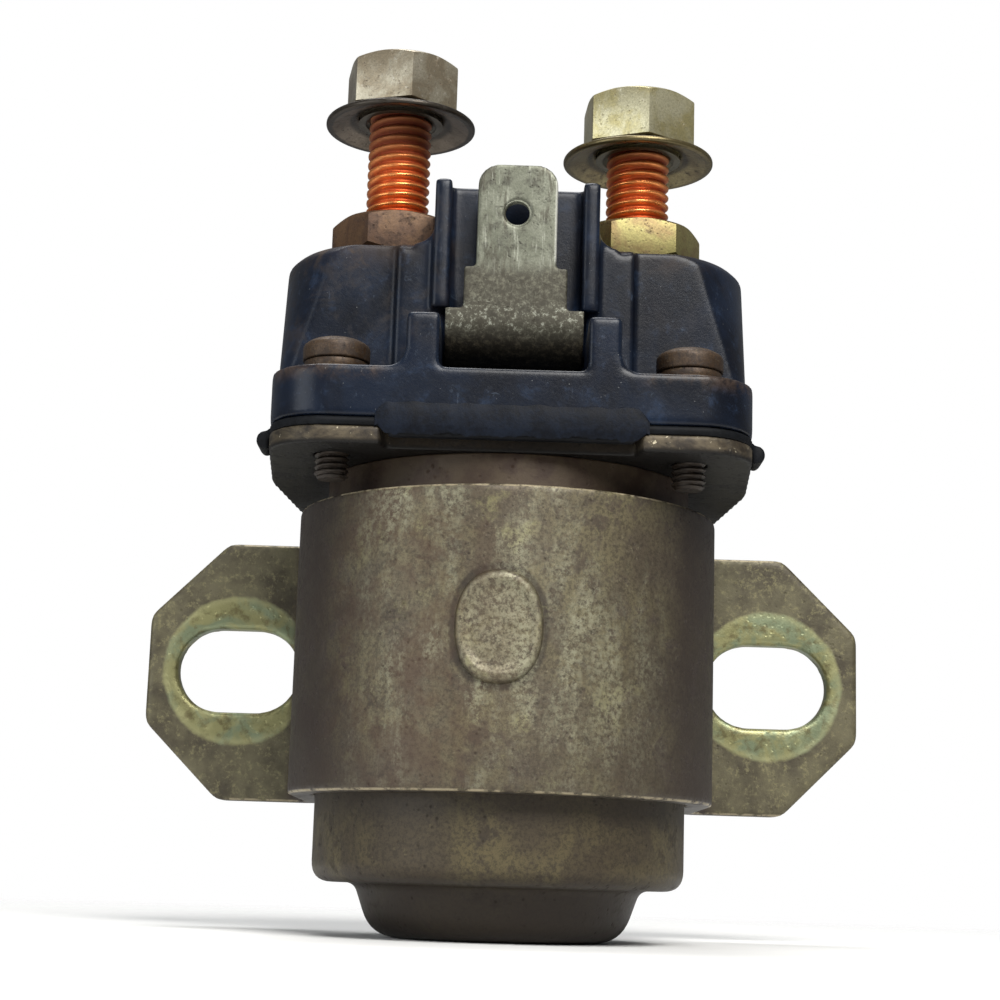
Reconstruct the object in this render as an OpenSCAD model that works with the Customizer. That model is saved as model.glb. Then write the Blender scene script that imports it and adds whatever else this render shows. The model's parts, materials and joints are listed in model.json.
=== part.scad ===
// Battery relay switch: a coil in a steel can lifts a copper bridge onto two terminal studs.
// Millimetres. +Z runs up the studs, -Y is the front with the blade terminal.
// The origin is midway between the two ear slots, on the back face of the ears.

/* [Can and coil] */
// Outside diameter of the drawn can
can_od = 44.2; // [40:0.1:52]
// Sheet thickness of the can
can_wall = 1.2; // [0.8:0.1:1.6]
// Length of can that shows under the strap
can_below_strap = 10; // [8:0.5:14]
// Length of can that shows between strap and yoke plate
can_above_strap = 4.1; // [3.6:0.1:8]
// Depth of the stepped dome under the can
dome_depth = 6.2; // [5:0.1:8]
// Diameter of the dome where it leaves the can
dome_d = 34; // [30:0.5:37]
// Diameter of the sliding plunger
plunger_d = 14; // [11:0.1:16]
// Diameter of the push rod
rod_d = 4; // [3:0.1:5]

/* [Strap bracket] */
// Height of the strap, which is also the height of the ears
strap_h = 34; // [28:0.5:42]
// Thickness of the strap
strap_t = 3.2; // [2:0.1:4]
// Distance between the centres of the two ear slots
slot_pitch = 70; // [68:0.5:84]
// Width of an ear slot
slot_w = 11; // [7:0.5:12]
// Length of an ear slot from end to end
slot_l = 16; // [13:0.5:17]
// Width across both ears
ear_span = 94; // [92:0.5:112]
// Size of the corner cut on each ear
ear_chamfer = 10; // [6:0.5:11]

/* [Yoke plate and gasket] */
// Thickness of the yoke plate
plate_t = 2; // [1.5:0.1:3]
// Thickness of the gasket
gasket_t = 1.1; // [0.8:0.1:2]
// Depth of the notch in the plate's front and back edges
plate_notch = 2.8; // [1:0.1:2.9]
// Width of that notch
plate_notch_w = 30; // [20:1:32]

/* [Cap] */
// Distance between the two terminal studs
stud_pitch = 30.4; // [29:0.1:34]
// Height of the cap's base, under the screw ledges
cap_base_h = 6; // [4:0.5:9]
// Height of the stud towers above the ledges
tower_h = 18.4; // [16:0.2:24]
// Radius of a stud tower at its top
tower_top_r = 13.2; // [12:0.1:14]
// Radius of a stud tower at the ledge
tower_base_r = 14; // [13:0.1:15.5]
// Height of the terminal shield above the towers
shield_h = 7.8; // [4:0.2:14]
// How far the cap reaches past the can at its front and back
cap_reach_y = 2.9; // [2:0.1:5]
// How far the cap's side faces reach past the can at its corners
cap_reach_x = 5.6; // [4:0.1:9]
// Margin from a cover screw's centre to the cap's edge
screw_edge = 7.2; // [6.6:0.1:9]
// Height of the two guard posts above the ledge
post_h = 6.4; // [3:0.2:8]

/* [Terminals] */
// Thread diameter of the studs and nuts
stud_d = 8; // [6:0.1:8.4]
// Thread pitch of the studs and nuts
thread_pitch = 1.25; // [1:0.25:1.5]
// Length of stud above the tower
stud_out = 23.6; // [20:0.1:34]
// Width across flats of the lower nuts
lower_nut_af = 14; // [13:0.1:15]
// Height of the lower nuts
lower_nut_h = 5; // [4:0.1:6.8]
// Width across flats of the terminal nuts
top_nut_af = 13; // [12:0.1:14]
// Height of the terminal nuts
top_nut_h = 6.5; // [5:0.1:8]
// Outside diameter of the captive cone washers
cone_d = 19; // [17:0.1:20]
// Height of the left cone washer's rim above the lower nut
left_rise = 12.8; // [2:0.1:16]
// Height of the right cone washer's rim above the lower nut
right_rise = 8.9; // [2:0.1:16]
// Width of the blade terminal's tab
blade_w = 9.5; // [6.3:0.1:9.6]
// Width of the blade terminal's foot
blade_foot_w = 16.3; // [14:0.1:18]
// Thickness of the blade terminal
blade_t = 1.2; // [0.8:0.1:1.5]
// Diameter of the hole in the tab
blade_hole_d = 3.2; // [1.6:0.1:3.6]

/* [Contacts] */
// Open gap between the bridge and the stud faces
contact_gap = 2; // [1:0.1:2.4]
// Plunger travel after the contacts meet
overtravel = 0.8; // [0.4:0.1:1.2]

/* [Cover screws] */
// Thread diameter of the cover screws
screw_d = 4; // [3:0.1:4.5]

/* [Hidden] */

$fn = 64;
hull_fn = 32;
eps = 0.01;
fit = 0.05;                                  // clearance of a close or running fit
slack = 0.3;                                 // clearance round loose or drop-in pieces
foot_gap = 0.25;                             // clearance each side of the blade's foot
far = 40;                                    // longer than any cut has to reach

// heights, from the middle of the ears
can_r = can_od / 2;
stud_x = stud_pitch / 2;
stud_r = stud_d / 2;
can_top = strap_h / 2 + can_above_strap;
can_step = -strap_h / 2 - can_below_strap;
dome_bottom = can_step - dome_depth;
plate_top = can_top + plate_t;
cap_bottom = plate_top + gasket_t;
ledge = cap_bottom + cap_base_h;
tower_top = ledge + tower_h;
shield_top = tower_top + shield_h;
post_top = ledge + post_h;
stud_top = tower_top + stud_out;

// strap
strap_in_r = can_r + fit;
strap_out_r = strap_in_r + strap_t;
strap_bend_r = 1.5;
back_y = strap_out_r;                        // mounting face, behind the can's axis
boss_w = 9.5;
boss_h = 12.2;
boss_rise = 0.8;
boss_shift = -0.75;                          // the boss sits a little left of the middle
boss_lift = 1;

// magnet
yoke_washer_t = 2.5;
tube_wall = 0.3;
tube_r = plunger_d / 2 + 0.1;
inner_can_r = can_r - can_wall;
can_step_r = 3;
can_floor = can_step + can_wall;
bobbin_bottom = can_floor + yoke_washer_t;
spacer_t = 1.6;
bobbin_top = can_top - spacer_t;
bobbin_flange = 1.6;
bobbin_r = inner_can_r - 0.5;
bobbin_tube_r = tube_r + tube_wall + fit;
bobbin_wall = 1.3;
tape_t = 0.4;
winding_r = bobbin_r - 0.8;
travel = contact_gap + overtravel;
pad_t = 2;
dome_floor = dome_bottom + can_wall;
plunger_bottom = dome_floor + pad_t;
core_bottom = 5;
air_gap = travel + slack;
plunger_top = core_bottom - air_gap;
spring_pocket_r = 4.6;
spring_pocket = 8;
core_pocket = 4;
spring_wire = 0.9;
core_spigot_r = 6;

// contacts
chamber_r = 9;
chamber_top = tower_top - 5;
head_r = 6.5;
head_flat = 11;
head_top = chamber_top + 1;
contact_face = chamber_top - 5;
pad_r = 4;
contact_pad_t = 0.6;
bridge_top = contact_face - contact_gap - contact_pad_t;
bridge_t = 2;
bridge_w = 14;
bush_flange = 1.4;
washer_flange = 1.2;
flange_r = 5;
clip_t = 0.8;
collar_t = 1;
collar_z = plate_top + 2.1;
rod_top = bridge_top + washer_flange + clip_t + 1.2;
bush_r = rod_d / 2 + 1.3;

// cap, laid out from the blade's foot at the middle to the screws at the corners
wall_in = blade_foot_w / 2 + foot_gap;
wall_out = wall_in + 3.8;
rib_in = wall_in - 0.5;
rib_out = rib_in + 2;
pocket_x = wall_out + 2;
pocket_y = 11.4;
web_back = -sqrt(pow(cone_d / 2 + 0.5, 2) - pow(max(stud_x - rib_out, 0), 2));
web_front = web_back - 2.3;
rib_front = web_front - 3.4;
screw_r = screw_d / 2;
screw_head_r = screw_d * 0.975;
screw_head_h = screw_d * 0.68;
screw_washer_r = screw_d * 1.1;
screw_x = pocket_x + screw_washer_r + 1.9;
screw_from_can = can_r + screw_r + 2.8;
screw_y = max(pocket_y + screw_washer_r + 1.7, sqrt(pow(screw_from_can, 2) - pow(screw_x, 2)));
cap_half_w = max(can_r + cap_reach_x, screw_x + screw_edge);
cap_half_d = max(can_r + cap_reach_y, screw_y + screw_edge + 0.3);
corner_r = 7;
corner_x = cap_half_w - corner_r;
corner_y = cap_half_d - corner_r;
barrier_t = 3;
seal_d = 1.8;
seal_r = stud_r + seal_d / 2 + 0.1;

// terminals
flat_washer_t = 1;
flat_washer_r = 8;
lower_nut_z = tower_top + flat_washer_t;
lower_nut_top = lower_nut_z + lower_nut_h;
cone_rise = 1.3;
cone_t = 0.9;
cone_bore_r = stud_r + 1.35;
blade_y = rib_front - 0.7;                   // rear face of the tab
bend_r = 5;
blade_top = shield_top + 1.1;
blade_hole_z = blade_top - 6;
blade_shoulder = blade_top - 12.7;
blade_mid_w = blade_w + 2.7;
foot_top = post_top + 3.1;
bend_z = foot_top - 1.2;

// cover screws
screw_washer_t = 0.8;
spring_washer_t = 1;
screw_end = can_top - 2.85;
lead_d = 1.2;
lead_x = 6;
lead_y = -8.1;
lead_hole_r = 2.2;
grommet_r = lead_hole_r + 0.5;

// turn of each nut about its stud, as left by the spanner
left_nut_turn = 12.5;
right_nut_turn = 6.3;
left_lower_turn = 22.6;
right_lower_turn = 33.4;

// the wire's route from the blade terminal down to the coil, with one round bend
lead_turn = 1.5;
lead_out = [0.6, -0.8];
lead_low = bobbin_top + lead_d / 2 + 0.02;
function lead_point(out, z) = [lead_x + out * lead_out[0], lead_y + out * lead_out[1], z];
live_route = concat([lead_point(0, bend_z - bend_r - 0.02), lead_point(0, (bend_z + plate_top) / 2)],
    [for (a = [0:15:90]) lead_point(lead_turn * (1 - cos(a)), lead_low + lead_turn * (1 - sin(a)))],
    [lead_point(lead_turn + 3, lead_low)]);

// the wire's route from the coil to the earth point under the yoke plate
earth_route = [[-11, 13.5, bobbin_top + lead_d / 2 + 0.02], [-8, 15.2, bobbin_top + lead_d / 2 + 0.05],
    [-4, 16.6, bobbin_top + lead_d / 2 + 0.15], [0, 17, bobbin_top + lead_d / 2 + 0.25],
    [4, 16.8, can_top - lead_d / 2 - 0.03], [7, 16.4, can_top - lead_d / 2 - 0.02]];

// an arc's points about [cx, cy]
function arc(cx, cy, r, a0, a1, n = 8) =
    [for (i = [0:n]) let (a = a0 + (a1 - a0) * i / n) [cx + r * cos(a), cy + r * sin(a)]];

// a unit vector, and a ring of points square to a direction
function unit(v) = v / norm(v);
function square_to(t) = abs(t[2]) < 0.8 ? unit(cross(t, [0, 0, 1])) : unit(cross(t, [1, 0, 0]));
function ring(p, t, r, sides) = let (u = square_to(t), w = cross(t, u))
    [for (k = [0:sides - 1]) let (a = 360 * k / sides) p + r * (u * cos(a) + w * sin(a))];
function along(path, i) = unit(path[min(i + 1, len(path) - 1)] - path[max(i - 1, 0)]);

// a round wire swept along a path of points
module wire(path, d, sides = 8) {
    n = len(path);
    points = [for (i = [0:n - 1]) each ring(path[i], along(path, i), d / 2, sides)];
    walls = [for (i = [0:n - 2], k = [0:sides - 1]) let (m = (k + 1) % sides)
        [i * sides + k, i * sides + m, (i + 1) * sides + m, (i + 1) * sides + k]];
    first = [[for (k = [0:sides - 1]) sides - 1 - k]];
    last = [[for (k = [0:sides - 1]) (n - 1) * sides + k]];
    polyhedron(points, concat(first, walls, last), convexity = 6);
}

// a helix ring has its own frame, so the wire doesn't twist
function coil_ring(r, a, z, wire_r, sides) =
    [for (k = [0:sides - 1]) let (b = 360 * k / sides, q = r + wire_r * cos(b))
        [q * cos(a), q * sin(a), z + wire_r * sin(b)]];

// a compression spring standing on z0, with one closed turn at each end
module spring(r, wire_d, z0, z1, turns, sides = 8) {
    per_turn = 20;
    n = turns * per_turn;
    low = z0 + wire_d / 2;
    high = z1 - wire_d / 2;
    closed = wire_d * 1.04;
    function rise(t) = t < 1 ? low + closed * t :
        t > turns - 1 ? high - closed * (turns - t) :
        low + closed + (high - low - 2 * closed) * (t - 1) / (turns - 2);
    points = [for (i = [0:n]) each coil_ring(r, 360 * i / per_turn, rise(i / per_turn), wire_d / 2, sides)];
    walls = [for (i = [0:n - 1], k = [0:sides - 1]) let (m = (k + 1) % sides)
        [i * sides + k, i * sides + m, (i + 1) * sides + m, (i + 1) * sides + k]];
    first = [[for (k = [0:sides - 1]) k]];
    last = [[for (k = [0:sides - 1]) n * sides + sides - 1 - k]];
    polyhedron(points, concat(first, [for (w = walls) [w[3], w[2], w[1], w[0]]], last), convexity = 10);
}

// moves from the can's axis to the mounting face's frame
module about_axis() { translate([0, -back_y, 0]) children(); }

// one copy on each side, left and right
module both_sides() { for (s = [-1, 1]) translate([s * stud_x, 0, 0]) children(); }

// one copy at each cover screw
module at_screws() {
    for (sx = [-1, 1], sy = [-1, 1]) translate([sx * screw_x, sy * screw_y, 0]) children();
}

module tube(r_out, r_in, z0, z1) {
    translate([0, 0, z0]) difference() {
        cylinder(r = r_out, h = z1 - z0);
        translate([0, 0, -eps]) cylinder(r = r_in, h = z1 - z0 + 2 * eps);
    }
}

module block(x0, x1, y0, y1, z0, z1) { translate([x0, y0, z0]) cube([x1 - x0, y1 - y0, z1 - z0]); }

// a bar with half round ends along X
module slot_bar(half_l, r, z0, z1) {
    translate([0, 0, z0]) {
        for (s = [-1, 1]) translate([s * half_l, 0, 0]) cylinder(r = r, h = z1 - z0);
        translate([-half_l, -r, 0]) cube([2 * half_l, 2 * r, z1 - z0]);
    }
}

// the outline that the cap and the gasket share
module cap_outline() {
    hull() {
        for (sx = [-1, 1], sy = [-1, 1]) translate([sx * corner_x, sy * corner_y]) circle(r = corner_r);
        for (s = [-1, 1]) translate([s * stud_x, 0]) circle(r = tower_base_r);
    }
}

// the plate's outline, cut back in the middle of its front and back edges
module plate_outline() {
    half_w = plate_notch_w / 2;
    difference() {
        cap_outline();
        for (s = [-1, 1]) translate([0, s * cap_half_d]) polygon([
            [-half_w, s], [half_w, s], [half_w - 1, -s * plate_notch], [1 - half_w, -s * plate_notch]]);
    }
}

module can() {
    foot_r = 4;
    taper = 2.2;
    dome_r = dome_d / 2;
    low_r = dome_r - taper;
    inner_step_r = can_step_r - can_wall;
    color("dimgray") about_axis() rotate_extrude() polygon(concat(
        [[can_r, can_top]],
        arc(can_r - can_step_r, can_step + can_step_r, can_step_r, 0, -90),
        [[dome_r, can_step]],
        arc(low_r - foot_r, dome_bottom + foot_r, foot_r, 0, -90),
        [[0, dome_bottom], [0, dome_floor]],
        arc(low_r - foot_r, dome_floor + foot_r - can_wall, foot_r - can_wall, -90, 0),
        [[dome_r - can_wall, can_floor]],
        arc(can_r - can_step_r, can_floor + inner_step_r, inner_step_r, -90, 0),
        [[inner_can_r, can_top]]));
}

// the strap seen from above: a half round front, straight sides and two ears
module strap_plan() {
    bend_x = strap_out_r + strap_bend_r;
    bend_y = back_y - strap_t - strap_bend_r;
    difference() {
        union() {
            circle(r = strap_out_r);
            translate([-strap_out_r, 0]) square([2 * strap_out_r, bend_y]);
        }
        circle(r = strap_in_r);
        translate([-strap_in_r, 0]) square([2 * strap_in_r, 2 * strap_out_r]);
    }
    for (s = [-1, 1]) {
        intersection() {
            translate([s * bend_x, bend_y]) difference() {
                circle(r = strap_bend_r + strap_t);
                circle(r = strap_bend_r);
            }
            translate([s > 0 ? 0 : -bend_x, bend_y]) square([bend_x, strap_bend_r + strap_t]);
        }
        translate([s > 0 ? bend_x : -ear_span / 2, back_y - strap_t])
            square([ear_span / 2 - bend_x, strap_t]);
    }
}

// the ears seen from the front, with cut and eased corners
module ear_face() {
    ease = 2.5;
    x = ear_span / 2;
    z = strap_h / 2;
    hull() for (sx = [-1, 1], sz = [-1, 1]) {
        translate([sx * (x - ease), sz * (z - ear_chamfer - 0.4 * ease)]) circle(r = ease, $fn = hull_fn);
        translate([sx * (x - ear_chamfer - 0.4 * ease), sz * (z - ease)]) circle(r = ease, $fn = hull_fn);
    }
}

module ear_slot() {
    rotate([90, 0, 0]) translate([0, 0, -back_y - eps]) linear_extrude(strap_t + 2 * eps) {
        for (s = [-1, 1]) translate([s * (slot_l - slot_w) / 2, 0]) circle(r = slot_w / 2);
        square([slot_l - slot_w, slot_w], center = true);
    }
}

// the oval weld boss pressed out of the strap's front
module weld_boss() {
    intersection() {
        rotate([90, 0, 0]) translate([boss_shift, boss_lift, strap_in_r - 2]) linear_extrude(6) {
            for (s = [-1, 1]) translate([0, s * (boss_h - boss_w) / 2]) circle(r = boss_w / 2);
            square([boss_w, boss_h - boss_w], center = true);
        }
        tube(strap_out_r + boss_rise, strap_out_r - 0.5, -strap_h / 2, strap_h / 2);
    }
}

module strap_bracket() {
    color("darkkhaki") about_axis() {
        difference() {
            intersection() {
                translate([0, 0, -strap_h / 2]) linear_extrude(strap_h) strap_plan();
                translate([0, 2 * back_y, 0]) rotate([90, 0, 0]) linear_extrude(4 * back_y) ear_face();
            }
            for (s = [-1, 1]) translate([s * slot_pitch / 2, 0, 0]) ear_slot();
        }
        weld_boss();
    }
}

module lower_yoke_washer() {
    color("silver") about_axis()
        tube(inner_can_r - can_step_r + can_wall, tube_r + tube_wall + fit, can_floor, bobbin_bottom);
}

module bobbin() {
    color("ivory") about_axis() {
        tube(bobbin_tube_r + bobbin_wall, bobbin_tube_r, bobbin_bottom, bobbin_top);
        tube(bobbin_r, bobbin_tube_r, bobbin_bottom, bobbin_bottom + bobbin_flange);
        tube(bobbin_r, bobbin_tube_r, bobbin_top - bobbin_flange, bobbin_top);
    }
}

module coil_winding() {
    color("peru") about_axis()
        tube(winding_r - tape_t, bobbin_tube_r + bobbin_wall, bobbin_bottom + bobbin_flange,
            bobbin_top - bobbin_flange);
}

module coil_tape() {
    color("khaki") about_axis()
        tube(winding_r, winding_r - tape_t, bobbin_bottom + bobbin_flange, bobbin_top - bobbin_flange);
}

module fibre_spacer() {
    spacer_r = 13;
    lead_angle = atan2(lead_out[1], lead_out[0]);
    cut_h = spacer_t + 2;
    color("sienna") about_axis() difference() {
        tube(spacer_r, bobbin_tube_r + bobbin_wall, bobbin_top, can_top);
        translate([lead_x, lead_y, bobbin_top - 1]) {
            cylinder(r = lead_hole_r, h = cut_h);
            rotate([0, 0, lead_angle]) translate([0, -lead_hole_r, 0]) cube([far, 2 * lead_hole_r, cut_h]);
        }
    }
}

module guide_tube() {
    color("goldenrod") about_axis() tube(tube_r + tube_wall, tube_r, plunger_bottom - 1, can_top - 0.5);
}

module fixed_core() {
    color("silver") about_axis() difference() {
        union() {
            translate([0, 0, core_bottom]) cylinder(r = tube_r - 0.02, h = can_top - core_bottom);
            translate([0, 0, can_top - eps]) cylinder(r = core_spigot_r, h = plate_t + eps);
        }
        translate([0, 0, core_bottom - 1]) cylinder(r = rod_d / 2 + fit, h = far);
        translate([0, 0, core_bottom - 1]) cylinder(r = spring_pocket_r, h = core_pocket + 1);
    }
}

module plunger() {
    color("silver") about_axis() difference() {
        translate([0, 0, plunger_bottom]) cylinder(r = plunger_d / 2, h = plunger_top - plunger_bottom);
        translate([0, 0, plunger_top - spring_pocket]) cylinder(r = spring_pocket_r, h = spring_pocket + 1);
        translate([0, 0, plunger_top - 2 * spring_pocket]) cylinder(r = rod_d / 2, h = 3 * spring_pocket);
    }
}

module push_rod() {
    groove = bridge_top + washer_flange;
    rod_bottom = plunger_top - 2 * spring_pocket;
    color("gainsboro") about_axis() difference() {
        union() {
            translate([0, 0, rod_bottom]) cylinder(r = rod_d / 2, h = rod_top - rod_bottom);
            translate([0, 0, collar_z]) cylinder(r = rod_d / 2 + 1.6, h = collar_t);
        }
        tube(rod_d, rod_d / 2 - 0.5, groove, groove + clip_t);
    }
}

module retaining_clip() {
    z = bridge_top + washer_flange;
    color("slategray") about_axis() difference() {
        tube(rod_d / 2 + 1.6, rod_d / 2 - 0.5, z, z + clip_t);
        block(-1, 1, 0, rod_d + 2, z - 1, z + clip_t + 1);
    }
}

module return_spring() {
    color("lightsteelblue") about_axis()
        spring(rod_d / 2 + 1.3, spring_wire, plunger_top - spring_pocket, core_bottom + core_pocket, 7);
}

module contact_spring() {
    wire_d = 0.8;
    color("lightsteelblue") about_axis()
        spring(rod_d / 2 + 0.85, wire_d, collar_z + collar_t, bridge_top - bridge_t - bush_flange, 4);
}

module contact_bridge() {
    color("chocolate") about_axis() difference() {
        slot_bar(stud_x, bridge_w / 2, bridge_top - bridge_t, bridge_top);
        translate([0, 0, bridge_top - 2 * bridge_t]) cylinder(r = bush_r + fit, h = 3 * bridge_t);
    }
}

module bridge_contacts() {
    color("gainsboro") about_axis() both_sides()
        translate([0, 0, bridge_top]) cylinder(r = pad_r, h = contact_pad_t);
}

module bridge_insulator_lower() {
    color("saddlebrown") about_axis() difference() {
        union() {
            translate([0, 0, bridge_top - bridge_t - bush_flange]) cylinder(r = flange_r, h = bush_flange);
            translate([0, 0, bridge_top - bridge_t - eps]) cylinder(r = bush_r, h = bridge_t - 0.1);
        }
        translate([0, 0, bridge_top - far / 2]) cylinder(r = rod_d / 2 + fit, h = far);
    }
}

module bridge_insulator_upper() {
    color("saddlebrown") about_axis()
        tube(flange_r, rod_d / 2 + fit, bridge_top, bridge_top + washer_flange);
}

module bump_pad() {
    color("black") about_axis() translate([0, 0, dome_floor]) cylinder(r = plunger_d / 2 - 1, h = pad_t);
}

module yoke_plate() {
    color("dimgray") about_axis() difference() {
        translate([0, 0, can_top]) linear_extrude(plate_t) plate_outline();
        translate([0, 0, can_top - 1]) cylinder(r = core_spigot_r, h = plate_t + 2);
        translate([lead_x, lead_y, can_top - 1]) cylinder(r = lead_hole_r, h = plate_t + 2);
        at_screws() translate([0, 0, can_top - 1]) cylinder(r = screw_r + fit, h = plate_t + 2);
    }
}

// the parts of the gasket that are squeezed past the plate: a lip in each notch and a bead at each side
module gasket_bulge() {
    lip_half_w = plate_notch_w / 2 - 1.2;
    lip_drop = 1.1;
    lip_t = 1.3;
    lip_y = cap_half_d - 0.05 - lip_t;
    bead_r = 1.1;
    bead_l = 5;
    bead_y = 12.5;
    difference() {
        union() {
            for (s = [0, 180]) rotate([0, 0, s])
                block(-lip_half_w, lip_half_w, lip_y, lip_y + lip_t, plate_top - lip_drop, plate_top + fit);
            for (s = [-1, 1]) translate([s * (cap_half_w + 0.6), -bead_y, plate_top - 0.3])
                rotate([90, 0, 0]) cylinder(r = bead_r, h = bead_l, $fn = 24);
        }
        translate([0, 0, plate_top - far]) linear_extrude(far) plate_outline();
    }
}

module gasket() {
    color("black") about_axis() difference() {
        union() {
            translate([0, 0, plate_top]) linear_extrude(gasket_t) cap_outline();
            gasket_bulge();
        }
        slot_bar(stud_x, chamber_r, plate_top - 1, cap_bottom + 1);
        translate([lead_x, lead_y, plate_top - 1]) cylinder(r = grommet_r + fit, h = gasket_t + 2);
        at_screws() translate([0, 0, plate_top - 1]) cylinder(r = screw_r + slack, h = gasket_t + 2);
    }
}

// the right-hand stud tower, drawn out from a broad base to a round top
module tower() {
    top_ease = 1.2;
    slice = 0.1;
    foot_r = 1.5;
    foot_x = cap_half_w + 0.3 - foot_r;
    foot_y = pocket_y + 0.3 - foot_r;
    hull() {
        translate([stud_x, 0, tower_top - slice]) cylinder(r = tower_top_r - top_ease, h = slice);
        translate([stud_x, 0, tower_top - top_ease]) cylinder(r = tower_top_r, h = slice);
        translate([stud_x, 0, ledge - 1]) cylinder(r = tower_base_r, h = slice);
        for (s = [-1, 1]) translate([foot_x, s * foot_y, ledge - 1]) cylinder(r = foot_r, h = slice);
    }
}

// a cutter that leaves a hollow fillet of radius r in the corner at the origin, along Y
module hollow_fillet(r, y0, y1) {
    translate([0, y1, 0]) rotate([90, 0, 0]) linear_extrude(y1 - y0) difference() {
        translate([-eps, -eps]) square(r + eps);
        translate([r, r]) circle(r = r);
    }
}

// the guard walls beside the blade's foot, and the shield that stands behind its tab
module shield() {
    for (s = [-1, 1]) mirror([s < 0 ? 1 : 0, 0, 0]) {
        block(rib_in, rib_out, rib_front, web_back, foot_top + 0.5, shield_top);
        block(wall_in, wall_out, -cap_half_d, rib_front + 4, ledge - 1, post_top);
        block(rib_in + 0.6, wall_out, rib_front + 1.4, web_back + 0.5, ledge - 1, tower_top);
        translate([wall_out - eps, 0, ledge - eps]) hollow_fillet(2.2, -cap_half_d + 0.3, -pocket_y);
        translate([rib_out - eps, 0, tower_top - eps]) hollow_fillet(2.4, rib_front + 1.4, web_back);
    }
    block(-rib_out, rib_out, web_front, web_back, foot_top - 4, shield_top);
    block(-barrier_t / 2, barrier_t / 2, web_front + 1, 14, tower_top - 4, shield_top - 0.6);
    block(-rib_out, rib_out, -web_back, -web_front, foot_top - 4, tower_top);
}

// a tower with its screw pockets cut back, and the middle block's faces beside them
module cut_tower(s) {
    block_y = pocket_y + 1.4;
    cut_top = tower_top + 1;
    mirror([s < 0 ? 1 : 0, 0, 0]) difference() {
        tower();
        for (m = [0, 1]) mirror([0, m, 0]) {
            block(pocket_x, far, -far, -pocket_y, ledge, cut_top);
            block(-5, pocket_x + eps, -far, -block_y, ledge, cut_top);
        }
    }
}

module cap() {
    slot_z = bend_z - bend_r;
    slot_half_w = blade_foot_w / 2 + foot_gap;
    color("midnightblue") about_axis() difference() {
        union() {
            translate([0, 0, cap_bottom]) linear_extrude(cap_base_h) cap_outline();
            for (s = [-1, 1]) cut_tower(s);
            block(-stud_x, stud_x, web_front, -web_front, ledge - 1, tower_top - 0.6);
            shield();
        }
        slot_bar(stud_x, chamber_r, cap_bottom - 1, chamber_top);
        both_sides() {
            translate([0, 0, chamber_top - 1]) cylinder(r = stud_r + 0.15, h = far);
            translate([0, 0, chamber_top - eps]) intersection() {
                cylinder(r = head_r + 0.1, h = 1 + eps);
                block(-far, far, -head_flat / 2 - 0.1, head_flat / 2 + 0.1, 0, 1 + eps);
            }
            translate([0, 0, head_top - eps]) cylinder(r = seal_r + seal_d / 2, h = seal_d + fit);
        }
        at_screws() translate([0, 0, cap_bottom - 1]) cylinder(r = screw_r + slack, h = cap_base_h + 2);
        block(-slot_half_w, slot_half_w, web_front - 6, 3 - chamber_r, slot_z, slot_z + blade_t + 0.4);
    }
}

module stud(s) {
    point = 0.8 * thread_pitch;
    color("orangered") about_axis() translate([s * stud_x, 0, 0]) {
        intersection() {
            translate([0, 0, contact_face]) cylinder(r = head_r, h = head_top - contact_face);
            block(-far, far, -head_flat / 2, head_flat / 2, 0, head_top + 1);
        }
        translate([0, 0, head_top - eps]) cylinder(r = stud_r, h = stud_top - head_top - point + eps);
        translate([0, 0, stud_top - point - eps]) cylinder(r1 = stud_r, r2 = stud_r - point, h = point + eps);
    }
}

module stud_left() { stud(-1); }

module stud_right() { stud(1); }

module stud_seals() {
    color("black") about_axis() both_sides() translate([0, 0, head_top + seal_d / 2 + 0.02])
        rotate_extrude() translate([seal_r, 0]) circle(r = seal_d / 2 - 0.04, $fn = 24);
}

module flat_washer(s) {
    color("darkgray") about_axis() translate([s * stud_x, 0, 0])
        tube(flat_washer_r, stud_r + 0.2, tower_top, tower_top + flat_washer_t);
}

module flat_washer_left() { flat_washer(-1); }

module flat_washer_right() { flat_washer(1); }

// a hexagon with both ends eased by a cone, standing on z = 0, with one corner turned from the front
module hexagon(af, h, turn) {
    corner = af / sqrt(3);
    ease = (corner - af / 2) * 0.62;
    intersection() {
        rotate([0, 0, turn - 90]) cylinder(r = corner, h = h, $fn = 6);
        union() {
            cylinder(r1 = af / 2 - 0.1, r2 = corner + 0.01, h = ease);
            translate([0, 0, ease - eps]) cylinder(r = corner + 0.01, h = h - 2 * ease + 2 * eps);
            translate([0, 0, h - ease]) cylinder(r1 = corner + 0.01, r2 = af / 2 - 0.1, h = ease);
        }
    }
}

module lower_nut(s, turn) {
    color("darkkhaki") about_axis() translate([s * stud_x, 0, lower_nut_z]) difference() {
        hexagon(lower_nut_af, lower_nut_h, turn);
        translate([0, 0, -1]) cylinder(r = stud_r + fit, h = lower_nut_h + 2);
        translate([0, 0, lower_nut_h - 0.6]) cylinder(r1 = stud_r, r2 = stud_r + 0.7, h = 0.61);
    }
}

module lower_nut_left() { lower_nut(-1, -left_lower_turn); }

module lower_nut_right() { lower_nut(1, right_lower_turn); }

// a dished washer held on its nut's collar, its rim at z = 0
module cone_washer(s, rim) {
    rim_r = cone_d / 2;
    top = cone_rise + cone_t - 0.25;
    color("gray") about_axis() translate([s * stud_x, 0, lower_nut_top + rim]) rotate_extrude() polygon([
        [cone_bore_r, cone_rise], [rim_r - 0.3, 0], [rim_r, 0.3], [rim_r, cone_t - 0.25],
        [rim_r - 0.3, cone_t], [top_nut_af / 2 + 0.3, top], [cone_bore_r, top]]);
}

module cone_washer_left() { cone_washer(-1, left_rise); }

module cone_washer_right() { cone_washer(1, right_rise); }

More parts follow.
